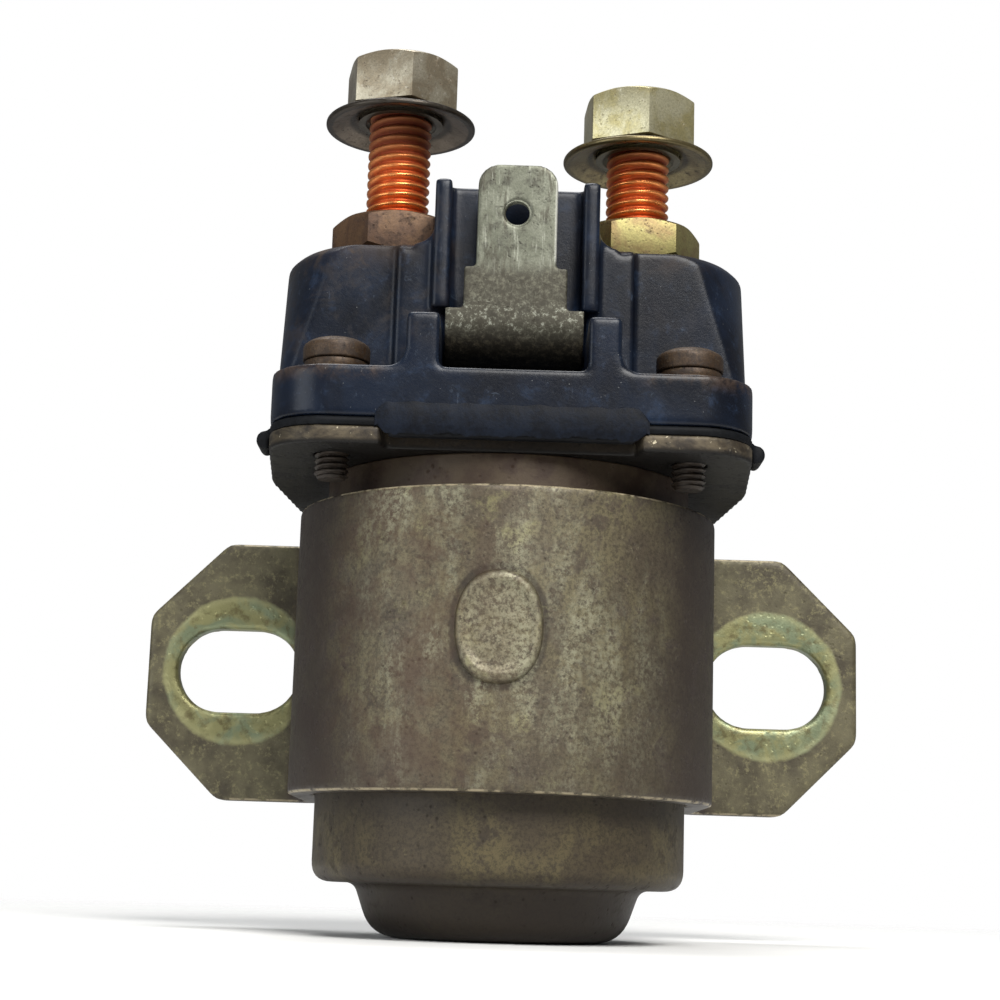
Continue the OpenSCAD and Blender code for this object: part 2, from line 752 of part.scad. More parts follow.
module terminal_nut(s, rim, turn) {
    seat = cone_rise + cone_t - 0.2;
    collar_low = 0.7;
    lip = 0.35;
    color("lightgray") about_axis() translate([s * stud_x, 0, lower_nut_top + rim]) difference() {
        union() {
            translate([0, 0, seat]) hexagon(top_nut_af, top_nut_h, turn);
            translate([0, 0, collar_low]) cylinder(r = cone_bore_r - 0.1, h = seat - collar_low + 1);
            translate([0, 0, collar_low]) cylinder(r1 = cone_bore_r - 0.1, r2 = cone_bore_r + 0.15, h = lip);
        }
        translate([0, 0, -1]) cylinder(r = stud_r + fit, h = far);
        translate([0, 0, seat + top_nut_h - 0.7]) cylinder(r1 = stud_r, r2 = stud_r + 0.75, h = 0.71);
        translate([0, 0, collar_low - eps]) cylinder(r1 = stud_r + 0.6, r2 = stud_r, h = 0.6);
    }
}

module terminal_nut_left() { terminal_nut(-1, left_rise, left_nut_turn); }

module terminal_nut_right() { terminal_nut(1, right_rise, right_nut_turn); }

// the blade's face, from the bend up to the tab's eased top
module blade_face() {
    ease = 2.6;
    translate([-blade_foot_w / 2, bend_z]) square([blade_foot_w, foot_top - bend_z]);
    translate([-blade_mid_w / 2, foot_top - eps]) square([blade_mid_w, blade_shoulder - foot_top + eps]);
    tab_h = blade_top - blade_shoulder;
    translate([-blade_w / 2, blade_shoulder - eps]) square([blade_w, tab_h - ease + eps]);
    translate([-blade_w / 2 + ease, blade_shoulder]) square([blade_w - 2 * ease, tab_h]);
    for (s = [-1, 1]) translate([s * (blade_w / 2 - ease), blade_top - ease]) circle(r = ease);
}

module blade_terminal() {
    front = blade_y - blade_t;
    half_w = blade_foot_w / 2;
    foot_z = bend_z - bend_r;
    color("darkseagreen") about_axis() {
        difference() {
            translate([0, blade_y, 0]) rotate([90, 0, 0]) linear_extrude(blade_t) blade_face();
            translate([0, 0, blade_hole_z]) rotate([90, 0, 0]) cylinder(r = blade_hole_d / 2, h = far);
        }
        translate([0, front + bend_r, bend_z + eps]) intersection() {
            rotate([0, 90, 0]) tube(bend_r, bend_r - blade_t, -half_w, half_w);
            block(-far, far, -far, 0, -far, 0);
        }
        block(-half_w, half_w, front + bend_r - eps, 1 - chamber_r, foot_z, foot_z + blade_t);
    }
}

module live_lead() { color("firebrick") about_axis() wire(live_route, lead_d); }

module earth_lead() { color("black") about_axis() wire(earth_route, lead_d); }

module lead_grommet() {
    color("black") about_axis() translate([lead_x, lead_y, 0]) difference() {
        union() {
            translate([0, 0, can_top + fit]) cylinder(r = lead_hole_r, h = plate_t);
            translate([0, 0, plate_top]) cylinder(r = grommet_r, h = 0.7);
        }
        translate([0, 0, can_top - 1]) cylinder(r = lead_d / 2 + fit, h = plate_t + 4);
    }
}

module cover_screws() {
    head_z = ledge + screw_washer_t + spring_washer_t;
    head_top_z = head_z + screw_head_h;
    ease = 0.9;
    recess_w = 0.9;
    recess_l = 4.4;
    recess_h = 2.6;
    color("tan") about_axis() at_screws() difference() {
        union() {
            translate([0, 0, screw_end + 0.4]) cylinder(r = screw_r, h = head_z - screw_end);
            translate([0, 0, screw_end]) cylinder(r1 = screw_r - 0.4, r2 = screw_r, h = 0.4 + eps);
            translate([0, 0, head_z]) cylinder(r = screw_head_r, h = screw_head_h - ease);
            translate([0, 0, head_top_z - ease - eps])
                cylinder(r1 = screw_head_r, r2 = screw_head_r - 1, h = ease);
        }
        for (a = [0, 90]) rotate([0, 0, a]) translate([0, 0, head_top_z])
            cube([recess_l, recess_w, recess_h], center = true);
    }
}

// split ring washers under the screw heads
module spring_washers() {
    z = ledge + screw_washer_t;
    color("gray") about_axis() at_screws() difference() {
        tube(screw_head_r - 0.2, screw_r + 0.1, z, z + spring_washer_t);
        rotate([0, 0, 40]) block(screw_r - 0.2, screw_d, -0.3, 0.3, z - 1, z + spring_washer_t + 1);
    }
}

module screw_washers() {
    color("tan") about_axis() at_screws() tube(screw_washer_r, screw_r + 0.2, ledge, ledge + screw_washer_t);
}

can();
strap_bracket();
lower_yoke_washer();
bobbin();
coil_winding();
coil_tape();
fibre_spacer();
guide_tube();
fixed_core();
plunger();
push_rod();
retaining_clip();
return_spring();
contact_spring();
contact_bridge();
bridge_contacts();
bridge_insulator_lower();
bridge_insulator_upper();
bump_pad();
yoke_plate();
gasket();
cap();
stud_left();
stud_right();
stud_seals();
flat_washer_left();
flat_washer_right();
lower_nut_left();
lower_nut_right();
cone_washer_left();
cone_washer_right();
terminal_nut_left();
terminal_nut_right();
blade_terminal();
live_lead();
earth_lead();
lead_grommet();
cover_screws();
spring_washers();
screw_washers();
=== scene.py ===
"""Battery relay switch: the looks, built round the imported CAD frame.

Each sub-assembly is a class that makes its detailed pieces and dresses its CAD nodes. Sizes inside the classes
are in millimetres; mesh code turns them into metres when a piece is made.
"""
import json
import logging
import math
from collections.abc import Callable, Sequence
from dataclasses import dataclass, field
from enum import Enum

import bmesh
import bpy
from mathutils import Matrix, Vector, noise


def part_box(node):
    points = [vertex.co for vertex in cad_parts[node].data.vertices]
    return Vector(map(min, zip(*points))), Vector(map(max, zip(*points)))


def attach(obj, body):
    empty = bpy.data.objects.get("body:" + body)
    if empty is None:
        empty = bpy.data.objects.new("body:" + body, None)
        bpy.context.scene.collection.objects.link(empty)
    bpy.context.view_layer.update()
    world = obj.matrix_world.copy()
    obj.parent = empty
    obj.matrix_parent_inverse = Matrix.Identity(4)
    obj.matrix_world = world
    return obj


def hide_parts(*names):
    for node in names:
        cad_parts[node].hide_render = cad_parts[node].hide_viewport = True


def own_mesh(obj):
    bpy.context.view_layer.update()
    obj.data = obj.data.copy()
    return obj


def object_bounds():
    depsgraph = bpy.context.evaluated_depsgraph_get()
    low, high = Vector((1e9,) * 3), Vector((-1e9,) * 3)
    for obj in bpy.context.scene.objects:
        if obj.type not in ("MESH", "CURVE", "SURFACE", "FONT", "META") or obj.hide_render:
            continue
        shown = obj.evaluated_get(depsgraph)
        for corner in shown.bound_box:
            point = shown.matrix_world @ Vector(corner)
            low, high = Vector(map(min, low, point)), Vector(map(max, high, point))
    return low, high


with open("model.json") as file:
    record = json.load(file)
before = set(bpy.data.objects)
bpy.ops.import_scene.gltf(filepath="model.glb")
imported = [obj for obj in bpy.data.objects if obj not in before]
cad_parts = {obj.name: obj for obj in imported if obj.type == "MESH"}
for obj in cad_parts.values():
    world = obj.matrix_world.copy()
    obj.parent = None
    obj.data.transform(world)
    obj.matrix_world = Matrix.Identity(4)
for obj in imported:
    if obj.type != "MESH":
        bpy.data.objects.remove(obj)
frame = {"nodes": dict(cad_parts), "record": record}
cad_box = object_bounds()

MM = 0.001
MIX_FACTOR, MIX_FIRST, MIX_SECOND, MIX_RESULT = 0, 6, 7, 2    # the Mix node's sockets for colours
Point = tuple[float, float]
Colour = tuple[float, float, float]
log = logging.getLogger("relay_switch")


# ---------------------------------------------------------------- measures read from the frame

@dataclass(frozen=True)
class Span:
    """The box of one CAD node, in millimetres."""

    low: Vector
    high: Vector

    @classmethod
    def of(cls, node: str) -> "Span":
        """Reads a node's box.

        Args:
            node: the CAD node's name.

        Returns:
            Its box at rest.
        """
        low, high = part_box(node)
        return cls(low / MM, high / MM)

    @property
    def centre(self) -> Vector:
        """The middle of the box."""
        return (self.low + self.high) / 2

    @property
    def size(self) -> Vector:
        """The box's three lengths."""
        return self.high - self.low


# ---------------------------------------------------------------- mesh making

class Bench:
    """Mesh work shared by the sub-assemblies."""

    @staticmethod
    def to_object(name: str, work: bmesh.types.BMesh, angle: float = 35.0) -> bpy.types.Object:
        """Turns finished mesh work into a smooth-shaded object.

        Args:
            name: the piece's name.
            work: the mesh, in millimetres.
            angle: edges sharper than this, in degrees, stay sharp.

        Returns:
            The new object, in metres.
        """
        bmesh.ops.scale(work, vec=(MM, MM, MM), verts=work.verts)
        bmesh.ops.recalc_face_normals(work, faces=work.faces)
        mesh = bpy.data.meshes.new(name)
        work.to_mesh(mesh)
        work.free()
        piece = bpy.data.objects.new(name, mesh)
        bpy.context.scene.collection.objects.link(piece)
        Bench.smooth(piece, angle)
        return piece

    @staticmethod
    def smooth(piece: bpy.types.Object, angle: float) -> None:
        """Shades a piece smooth, apart from edges sharper than an angle in degrees."""
        piece.data.shade_smooth()
        piece.data.set_sharp_from_angle(angle=math.radians(angle))

    @staticmethod
    def settle(piece: bpy.types.Object) -> None:
        """Applies every modifier on a piece to its mesh.

        Args:
            piece: the piece.
        """
        graph = bpy.context.evaluated_depsgraph_get()
        done = bpy.data.meshes.new_from_object(piece.evaluated_get(graph))
        piece.modifiers.clear()
        piece.data = done

    @staticmethod
    def turned(
        name: str,
        profile: Callable[[float], Sequence[Point]],
        centre: Vector,
        segments: int = 96,
        angle: float = 35.0,
        start: float = 0.0,
    ) -> bpy.types.Object:
        """Makes a closed solid about a vertical axis from one closed outline for each direction.

        Args:
            name: the piece's name.
            profile: gives the outline, as radius and height, for a direction in radians. Every direction has
                the same number of points.
            centre: a point on the axis; heights are absolute.
            segments: directions in a full turn.
            angle: edges sharper than this, in degrees, stay sharp.
            start: the first direction, in radians.

        Returns:
            The new piece.
        """
        work = bmesh.new()
        columns = []
        for k in range(segments):
            turn = start + math.tau * k / segments
            columns.append([
                work.verts.new((centre.x + r * math.cos(turn), centre.y + r * math.sin(turn), z))
                for r, z in profile(turn)
            ])
        count = len(columns[0])
        for k, column in enumerate(columns):
            beside = columns[(k + 1) % segments]
            for j in range(count):
                after = (j + 1) % count
                work.faces.new((column[j], beside[j], beside[after], column[after]))
        bmesh.ops.remove_doubles(work, verts=work.verts, dist=1e-4)
        bmesh.ops.dissolve_degenerate(work, edges=work.edges, dist=1e-5)
        bmesh.ops.delete(work, geom=[edge for edge in work.edges if not edge.link_faces], context="EDGES")
        return Bench.to_object(name, work, angle)

    @staticmethod
    def softened(
        node: str, name: str, width: float, segments: int = 3, angle: float = 32.0, shade: float = 35.0
    ) -> bpy.types.Object:
        """Copies a CAD node's shape into a new piece and rounds its sharp edges.

        Args:
            node: the CAD node to copy.
            name: the new piece's name.
            width: how far each rounding reaches from its edge.
            segments: facets across a rounding.
            angle: edges sharper than this, in degrees, are rounded.
            shade: edges still sharper than this, in degrees, are shaded sharp.

        Returns:
            The new piece.
        """
        work = bmesh.new()
        work.from_mesh(frame["nodes"][node].data)
        bmesh.ops.remove_doubles(work, verts=work.verts, dist=0.002 * MM)
        bmesh.ops.dissolve_limit(
            work, angle_limit=math.radians(0.6), use_dissolve_boundaries=False, verts=work.verts, edges=work.edges
        )
        bmesh.ops.scale(work, vec=(1 / MM, 1 / MM, 1 / MM), verts=work.verts)
        piece = Bench.to_object(name, work, shade)
        bevel = piece.modifiers.new("rounding", "BEVEL")
        bevel.width = width * MM
        bevel.segments = segments
        bevel.limit_method = "ANGLE"
        bevel.angle_limit = math.radians(angle)
        bevel.use_clamp_overlap = True
        bevel.harden_normals = False
        Bench.settle(piece)
        Bench.smooth(piece, shade)
        return piece

    @staticmethod
    def melted(
        node: str, name: str, voxel: float, passes: int, keep: float = 0.5, angle: float = 60.0
    ) -> bpy.types.Object:
        """Copies a CAD node's shape into one even skin whose edges and inner corners are all rounded.

        Args:
            node: the CAD node to copy.
            name: the new piece's name.
            voxel: the skin's mesh size.
            passes: rounds of smoothing; more of them make bigger roundings.
            keep: the share of the faces that is kept at the end.
            angle: edges sharper than this, in degrees, are shaded sharp.

        Returns:
            The new piece.
        """
        piece = bpy.data.objects.new(name, frame["nodes"][node].data.copy())
        bpy.context.scene.collection.objects.link(piece)
        skin = piece.modifiers.new("skin", "REMESH")
        skin.mode = "VOXEL"
        skin.voxel_size = voxel * MM
        soften = piece.modifiers.new("soften", "SMOOTH")
        soften.factor = 0.5
        soften.iterations = passes
        thin = piece.modifiers.new("thin", "DECIMATE")
        thin.ratio = keep
        Bench.settle(piece)
        Bench.smooth(piece, angle)
        return piece

    @staticmethod
    def rounded(corners: Sequence[tuple[float, float, float]], steps: int = 4) -> list[Point]:
        """Rounds the corners of a closed outline.

        Args:
            corners: each corner and how far back from it, along both its sides, its rounding starts.
            steps: facets across a rounding.

        Returns:
            The outline, with one point for a corner that reaches back 0 and steps + 1 for any other.
        """
        outline: list[Point] = []
        for k, (x, y, reach) in enumerate(corners):
            here = Vector((x, y))
            if not reach:
                outline.append((x, y))
                continue
            before = Vector(corners[k - 1][:2]) - here
            after = Vector(corners[(k + 1) % len(corners)][:2]) - here
            back = min(reach, 0.48 * before.length, 0.48 * after.length)
            start, end = here + before.normalized() * back, here + after.normalized() * back
            for j in range(steps + 1):
                t = j / steps
                point = start * (1 - t) ** 2 + here * 2 * t * (1 - t) + end * t * t
                outline.append((point.x, point.y))
        return outline

    @staticmethod
    def joined(name: str, pieces: Sequence[bpy.types.Object]) -> bpy.types.Object:
        """Joins several pieces into one, under a new name.

        Args:
            name: the new piece's name.
            pieces: the pieces, which are removed.

        Returns:
            The new piece.
        """
        work = bmesh.new()
        for piece in pieces:
            work.from_mesh(piece.data)
            bpy.data.objects.remove(piece)
        bmesh.ops.scale(work, vec=(1 / MM, 1 / MM, 1 / MM), verts=work.verts)
        return Bench.to_object(name, work)

    @staticmethod
    def cut(piece: bpy.types.Object, box: tuple[Point, Point, Point], centre: Vector, turn: float = 0.0) -> None:
        """Cuts a box out of a piece.

        Args:
            piece: the piece.
            box: the box's ends along X, Y and Z, with X and Y from the centre.
            centre: where the box's X and Y start.
            turn: the box's turn about a vertical line through the centre, in radians.
        """
        size = [high - low for low, high in box]
        middle = Vector([(low + high) / 2 for low, high in box])
        work = bmesh.new()
        bmesh.ops.create_cube(work, size=1)
        bmesh.ops.scale(work, vec=size, verts=work.verts)
        bmesh.ops.translate(work, vec=middle, verts=work.verts)
        bmesh.ops.rotate(work, matrix=Matrix.Rotation(turn, 3, "Z"), verts=work.verts)
        bmesh.ops.translate(work, vec=(centre.x, centre.y, 0), verts=work.verts)
        cutter = Bench.to_object("cutter", work)
        slice_off = piece.modifiers.new("cut", "BOOLEAN")
        slice_off.object = cutter
        slice_off.operation = "DIFFERENCE"
        Bench.settle(piece)
        bpy.data.objects.remove(cutter)
        Bench.smooth(piece, 35)


@dataclass(frozen=True)
class Thread:
    """A right-hand screw thread about a vertical axis."""

    radius: float = 3.97
    root: float = 3.42
    pitch: float = 1.25

    def at(self, turn: float, height: float) -> float:
        """The thread's radius in a direction, in radians, at a height.

        Args:
            turn: the direction, in radians.
            height: the height.

        Returns:
            The radius there.
        """
        phase = (height / self.pitch - turn / math.tau) % 1.0
        across = abs(phase - 0.5) * 2
        flank = min(max((across - 0.14) / 0.7, 0.0), 1.0)
        return self.radius - (self.radius - self.root) * flank

    def column(self, turn: float, low: float, high: float, steps: int = 10) -> list[Point]:
        """Points up the thread in one direction.

        Args:
            turn: the direction, in radians.
            low: the first height.
            high: the last height.
            steps: points for each pitch.

        Returns:
            Radius and height, from low to high.
        """
        count = max(2, round((high - low) / self.pitch * steps))
        heights = [low + (high - low) * k / count for k in range(count + 1)]
        return [(self.at(turn, z), z) for z in heights]


# ---------------------------------------------------------------- shader maths

class Signal:
    """One varying number of a material: a socket that takes part in ordinary arithmetic."""

    def __init__(self, net: "Tree", socket: bpy.types.NodeSocket | None) -> None:
        """Wraps a socket of the tree it belongs to."""
        self.net = net
        self.socket = socket

    def _join(self, operation: str, first: "Signal | float", second: "Signal | float") -> "Signal":
        """Adds one Math node.

        Args:
            operation: the Math node's operation.
            first: its first value.
            second: its second value.

        Returns:
            The node's output.
        """
        return self.net.add("ShaderNodeMath", {"operation": operation}, {0: first, 1: second})

    def __add__(self, other: "Signal | float") -> "Signal":
        """self + other."""
        return self._join("ADD", self, other)

    def __radd__(self, other: float) -> "Signal":
        """other + self."""
        return self._join("ADD", other, self)

    def __sub__(self, other: "Signal | float") -> "Signal":
        """self - other."""
        return self._join("SUBTRACT", self, other)

    def __rsub__(self, other: float) -> "Signal":
        """other - self."""
        return self._join("SUBTRACT", other, self)

    def __mul__(self, other: "Signal | float") -> "Signal":
        """self * other."""
        return self._join("MULTIPLY", self, other)

    def __rmul__(self, other: float) -> "Signal":
        """other * self."""
        return self._join("MULTIPLY", other, self)

    def __truediv__(self, other: "Signal | float") -> "Signal":
        """self / other."""
        return self._join("DIVIDE", self, other)

    def __pow__(self, other: float) -> "Signal":
        """self to a power."""
        return self._join("POWER", self, other)

    def __abs__(self) -> "Signal":
        """The size of self."""
        return self._join("ABSOLUTE", self, 0.0)

    def least(self, other: "Signal | float") -> "Signal":
        """The smaller of two."""
        return self._join("MINIMUM", self, other)

    def most(self, other: "Signal | float") -> "Signal":
        """The larger of two."""
        return self._join("MAXIMUM", self, other)

    def rise(self, low: float, high: float) -> "Signal":
        """Goes smoothly from 0 at low to 1 at high.

        Args:
            low: the value that gives 0.
            high: the value that gives 1; it may be the lower of the two.

        Returns:
            The eased signal.
        """
        settings = {"interpolation_type": "SMOOTHSTEP", "clamp": True}
        if low < high:
            return self.net.add("ShaderNodeMapRange", settings, {"Value": self, "From Min": low, "From Max": high})
        back = {"Value": self, "From Min": high, "From Max": low, "To Min": 1.0, "To Max": 0.0}
        return self.net.add("ShaderNodeMapRange", settings, back)


class Tree:
    """A node tree, with one method that adds any node."""

    def __init__(self, tree: bpy.types.NodeTree) -> None:
        """Takes over a tree and empties it."""
        self.tree = tree
        self.tree.nodes.clear()

    def _plug(self, node: bpy.types.Node, sockets: dict) -> None:
        """Sets or links inputs of a node.

        Args:
            node: the node.
            sockets: a value or a link for each named or numbered input.
        """
        for key, value in sockets.items():
            if isinstance(value, Signal):
                self.tree.links.new(value.socket, node.inputs[key])
            elif isinstance(value, bpy.types.NodeSocket):
                self.tree.links.new(value, node.inputs[key])
            else:
                node.inputs[key].default_value = value

    def add(self, kind: str, settings: dict, sockets: dict, output: int | str = 0) -> Signal:
        """Adds a node.

        Args:
            kind: the node's type.
            settings: its own settings, set first.
            sockets: values or links of its inputs.
            output: the output to return.

        Returns:
            That output, ready for arithmetic, or an empty signal for a node that ends a tree.
        """
        node = self.tree.nodes.new(kind)
        for key, value in settings.items():
            setattr(node, key, value)
        self._plug(node, sockets)
        return Signal(self, node.outputs[output] if len(node.outputs) else None)


class Net(Tree):
    """A material's node tree."""

    def __init__(self, name: str) -> None:
        """Starts a material with an empty tree.

        Args:
            name: the material's name.
        """
        self.material = bpy.data.materials.new(name)
        self.material.use_nodes = True
        super().__init__(self.material.node_tree)
        spot = self.add("ShaderNodeTexCoord", {}, {}, "Object")
        self.place = self.vector("SCALE", {0: spot, "Scale": 1 / MM})
        parts = self.add("ShaderNodeSeparateXYZ", {}, {0: self.place}).socket.node
        self.x, self.y, self.z = (Signal(self, socket) for socket in parts.outputs)

    def from_stud(self, pitch: float = 30.4, axis_y: float = -25.35) -> Signal:
        """The distance to the nearer stud's axis.

        Args:
            pitch: the distance between the studs.
            axis_y: their axes' place along Y.

        Returns:
            The distance, in millimetres.
        """
        aside = abs(self.x) - pitch / 2
        back = self.y - axis_y
        return (aside * aside + back * back) ** 0.5

    def vector(self, operation: str, sockets: dict) -> bpy.types.NodeSocket:
        """Adds a Vector Math node and returns its vector."""
        return self.add("ShaderNodeVectorMath", {"operation": operation}, sockets).socket

    def stretched(self, x: float, y: float, z: float) -> bpy.types.NodeSocket:
        """The place in millimetres, scaled along each axis."""
        return self.vector("MULTIPLY", {0: self.place, 1: (x, y, z)})

    def grain(
        self, size: float, detail: float = 3.0, roughness: float = 0.55, warp: float = 0.0,
        where: bpy.types.NodeSocket | None = None, seed: float = 0.0,
    ) -> Signal:
        """Noise over the surface.

        Args:
            size: the width of its largest features, in millimetres.
            detail: octaves.
            roughness: how strong the finer octaves are.
            warp: how far it is distorted.
            where: coordinates in millimetres; the plain place if left out.
            seed: moves the pattern.

        Returns:
            Noise about 0.5.
        """
        source = self.vector("ADD", {0: where or self.place, 1: (seed * 17.0, seed * 9.0, seed * 5.0)})
        sockets = {
            "Vector": source, "Scale": 1 / size, "Detail": detail, "Roughness": roughness, "Distortion": warp
        }
        return self.add("ShaderNodeTexNoise", {}, sockets)

    def cells(self, size: float, where: bpy.types.NodeSocket | None = None) -> Signal:
        """The distance to the nearest of many scattered points, about size apart."""
        return self.add("ShaderNodeTexVoronoi", {}, {"Vector": where or self.place, "Scale": 1 / size})

    def mix(
        self, factor: Signal | float, first: "Colour | bpy.types.NodeSocket", second: "Colour | bpy.types.NodeSocket"
    ) -> bpy.types.NodeSocket:
        """Mixes two colours.

        Args:
            factor: 0 gives the first, 1 the second.
            first: a colour or a link.
            second: a colour or a link.

        Returns:
            The mixed colour.
        """
        sockets = {MIX_FACTOR: factor, MIX_FIRST: self._full(first), MIX_SECOND: self._full(second)}
        return self.add("ShaderNodeMix", {"data_type": "RGBA"}, sockets, MIX_RESULT).socket

    @staticmethod
    def _full(colour: "Colour | bpy.types.NodeSocket") -> "tuple | bpy.types.NodeSocket":
        """A plain colour with its alpha, or a link as it is."""
        return (*colour, 1.0) if isinstance(colour, tuple) else colour

    def finish(
        self, colour: "Colour | bpy.types.NodeSocket", roughness: Signal | float, metallic: Signal | float,
        height: Signal | None = None, depth: float = 0.05, alpha: Signal | float = 1.0, **fixed: float,
    ) -> bpy.types.Material:
        """Ends the tree in a Principled shader.

        Args:
            colour: the base colour.
            roughness: the roughness.
            metallic: the metallic share.
            height: the surface's fine relief, 0 to 1.
            depth: how deep that relief is, in millimetres.
            alpha: how solid the surface is.
            **fixed: other inputs, with underscores for spaces, that are the same all over.

        Returns:
            The finished material.
        """
        sockets = {
            "Base Color": self._full(colour), "Roughness": roughness, "Metallic": metallic, "Alpha": alpha,
            **{key.replace("_", " "): value for key, value in fixed.items()},
        }
        if height is not None:
            relief = {"Height": height, "Distance": depth * MM, "Strength": 1.0}
            sockets["Normal"] = self.add("ShaderNodeBump", {}, relief, "Normal")
        shader = self.add("ShaderNodeBsdfPrincipled", {}, sockets)
        self.add("ShaderNodeOutputMaterial", {}, {"Surface": shader})
        return self.material


def paint(red: int, green: int, blue: int) -> Colour:
    """A colour from screen values of 0 to 255, as the linear values that shaders take.

    Args:
        red: the red value.
        green: the green value.
        blue: the blue value.

    Returns:
        The linear colour.
    """
    def straight(value: int) -> float:
        """One screen value as a linear one."""
        share = value / 255
        return share / 12.92 if share <= 0.04045 else ((share + 0.055) / 1.055) ** 2.4

    return straight(red), straight(green), straight(blue)


# ---------------------------------------------------------------- finishes

@dataclass(frozen=True)
class WornMetal:
    """Plated or bare steel with patina, stains and pits, and painted shade below a set height where one is given."""

    name: str
    base: Colour
    patina: Colour
    stain: Colour
    fleck: Colour
    stain_share: float = 0.5
    fleck_share: float = 0.3
    patch: float = 9.0
    pit: float = 0.5
    pit_depth: float = 0.05
    metal: float = 0.6
    gloss: float = 0.45
    seed: float = 0.0
    painted_shade_from: float = 0.0
    painted_shade_to: float = 0.0
    grit: float = 0.35

    def layers(self, net: Net) -> tuple[bpy.types.NodeSocket, Signal, Signal, Signal]:
        """Builds the colour, roughness, metallic share and relief that most metals share.

        Args:
            net: the material's tree.

        Returns:
            Colour, roughness, metallic and height.
        """
        broad = net.grain(self.patch, 5.0, 0.6, 0.6, seed=self.seed)
        middle = net.grain(self.patch * 0.28, 6.0, 0.68, 0.3, seed=self.seed + 1)
        fine = net.grain(self.pit * 1.4, 4.0, 0.7, seed=self.seed + 2)
        pits = net.cells(self.pit * 1.7, net.vector("ADD", {0: net.place, 1: (self.seed, 0.3, 0.7)}))
        colour = net.mix(broad.rise(0.4, 0.62), self.base, self.patina)
        stained = (middle * 0.65 + broad * 0.35).rise(0.66 - 0.3 * self.stain_share, 0.76 - 0.26 * self.stain_share)
        colour = net.mix(stained * 0.85, colour, self.stain)
        flecks = (fine * 0.6 + middle * 0.4).rise(0.62 - 0.16 * self.fleck_share, 0.76 - 0.16 * self.fleck_share)
        colour = net.mix(flecks * (0.75 - 0.45 * stained), colour, self.fleck)
        grit = net.grain(self.pit * 0.9, 6.0, 0.8, seed=self.seed + 5)
        colour = net.mix(grit.rise(0.56, 0.4) * self.grit, colour, tuple(0.3 * c for c in self.base))
        hole = pits.rise(0.34, 0.1) * middle.rise(0.46, 0.6)
        colour = net.mix(hole * 0.55, colour, tuple(0.35 * c for c in self.stain))
        # Painted shade: darker below a set height, round a nut's collar under its seat or on screw tips under the
        # plate.
        if self.painted_shade_to > self.painted_shade_from:
            wave = 0.5 * (middle - 0.5)
            colour = net.mix((net.z + wave).rise(self.painted_shade_to, self.painted_shade_from) * 0.8, colour, paint(34, 28, 22))
        roughness = self.gloss + 0.22 * stained + 0.16 * (fine - 0.5) + 0.2 * hole
        metallic = self.metal * (1.0 - 0.55 * stained)
        height = 0.5 + 0.45 * (fine - 0.5) + 0.7 * (middle - 0.5) - 0.55 * hole
        return colour, roughness, metallic, height

    def material(self) -> bpy.types.Material:
        """Builds the material.

        Returns:
            The finished material.
        """
        net = Net(self.name)
        colour, roughness, metallic, height = self.layers(net)
        return net.finish(colour, roughness, metallic, height, self.pit_depth)


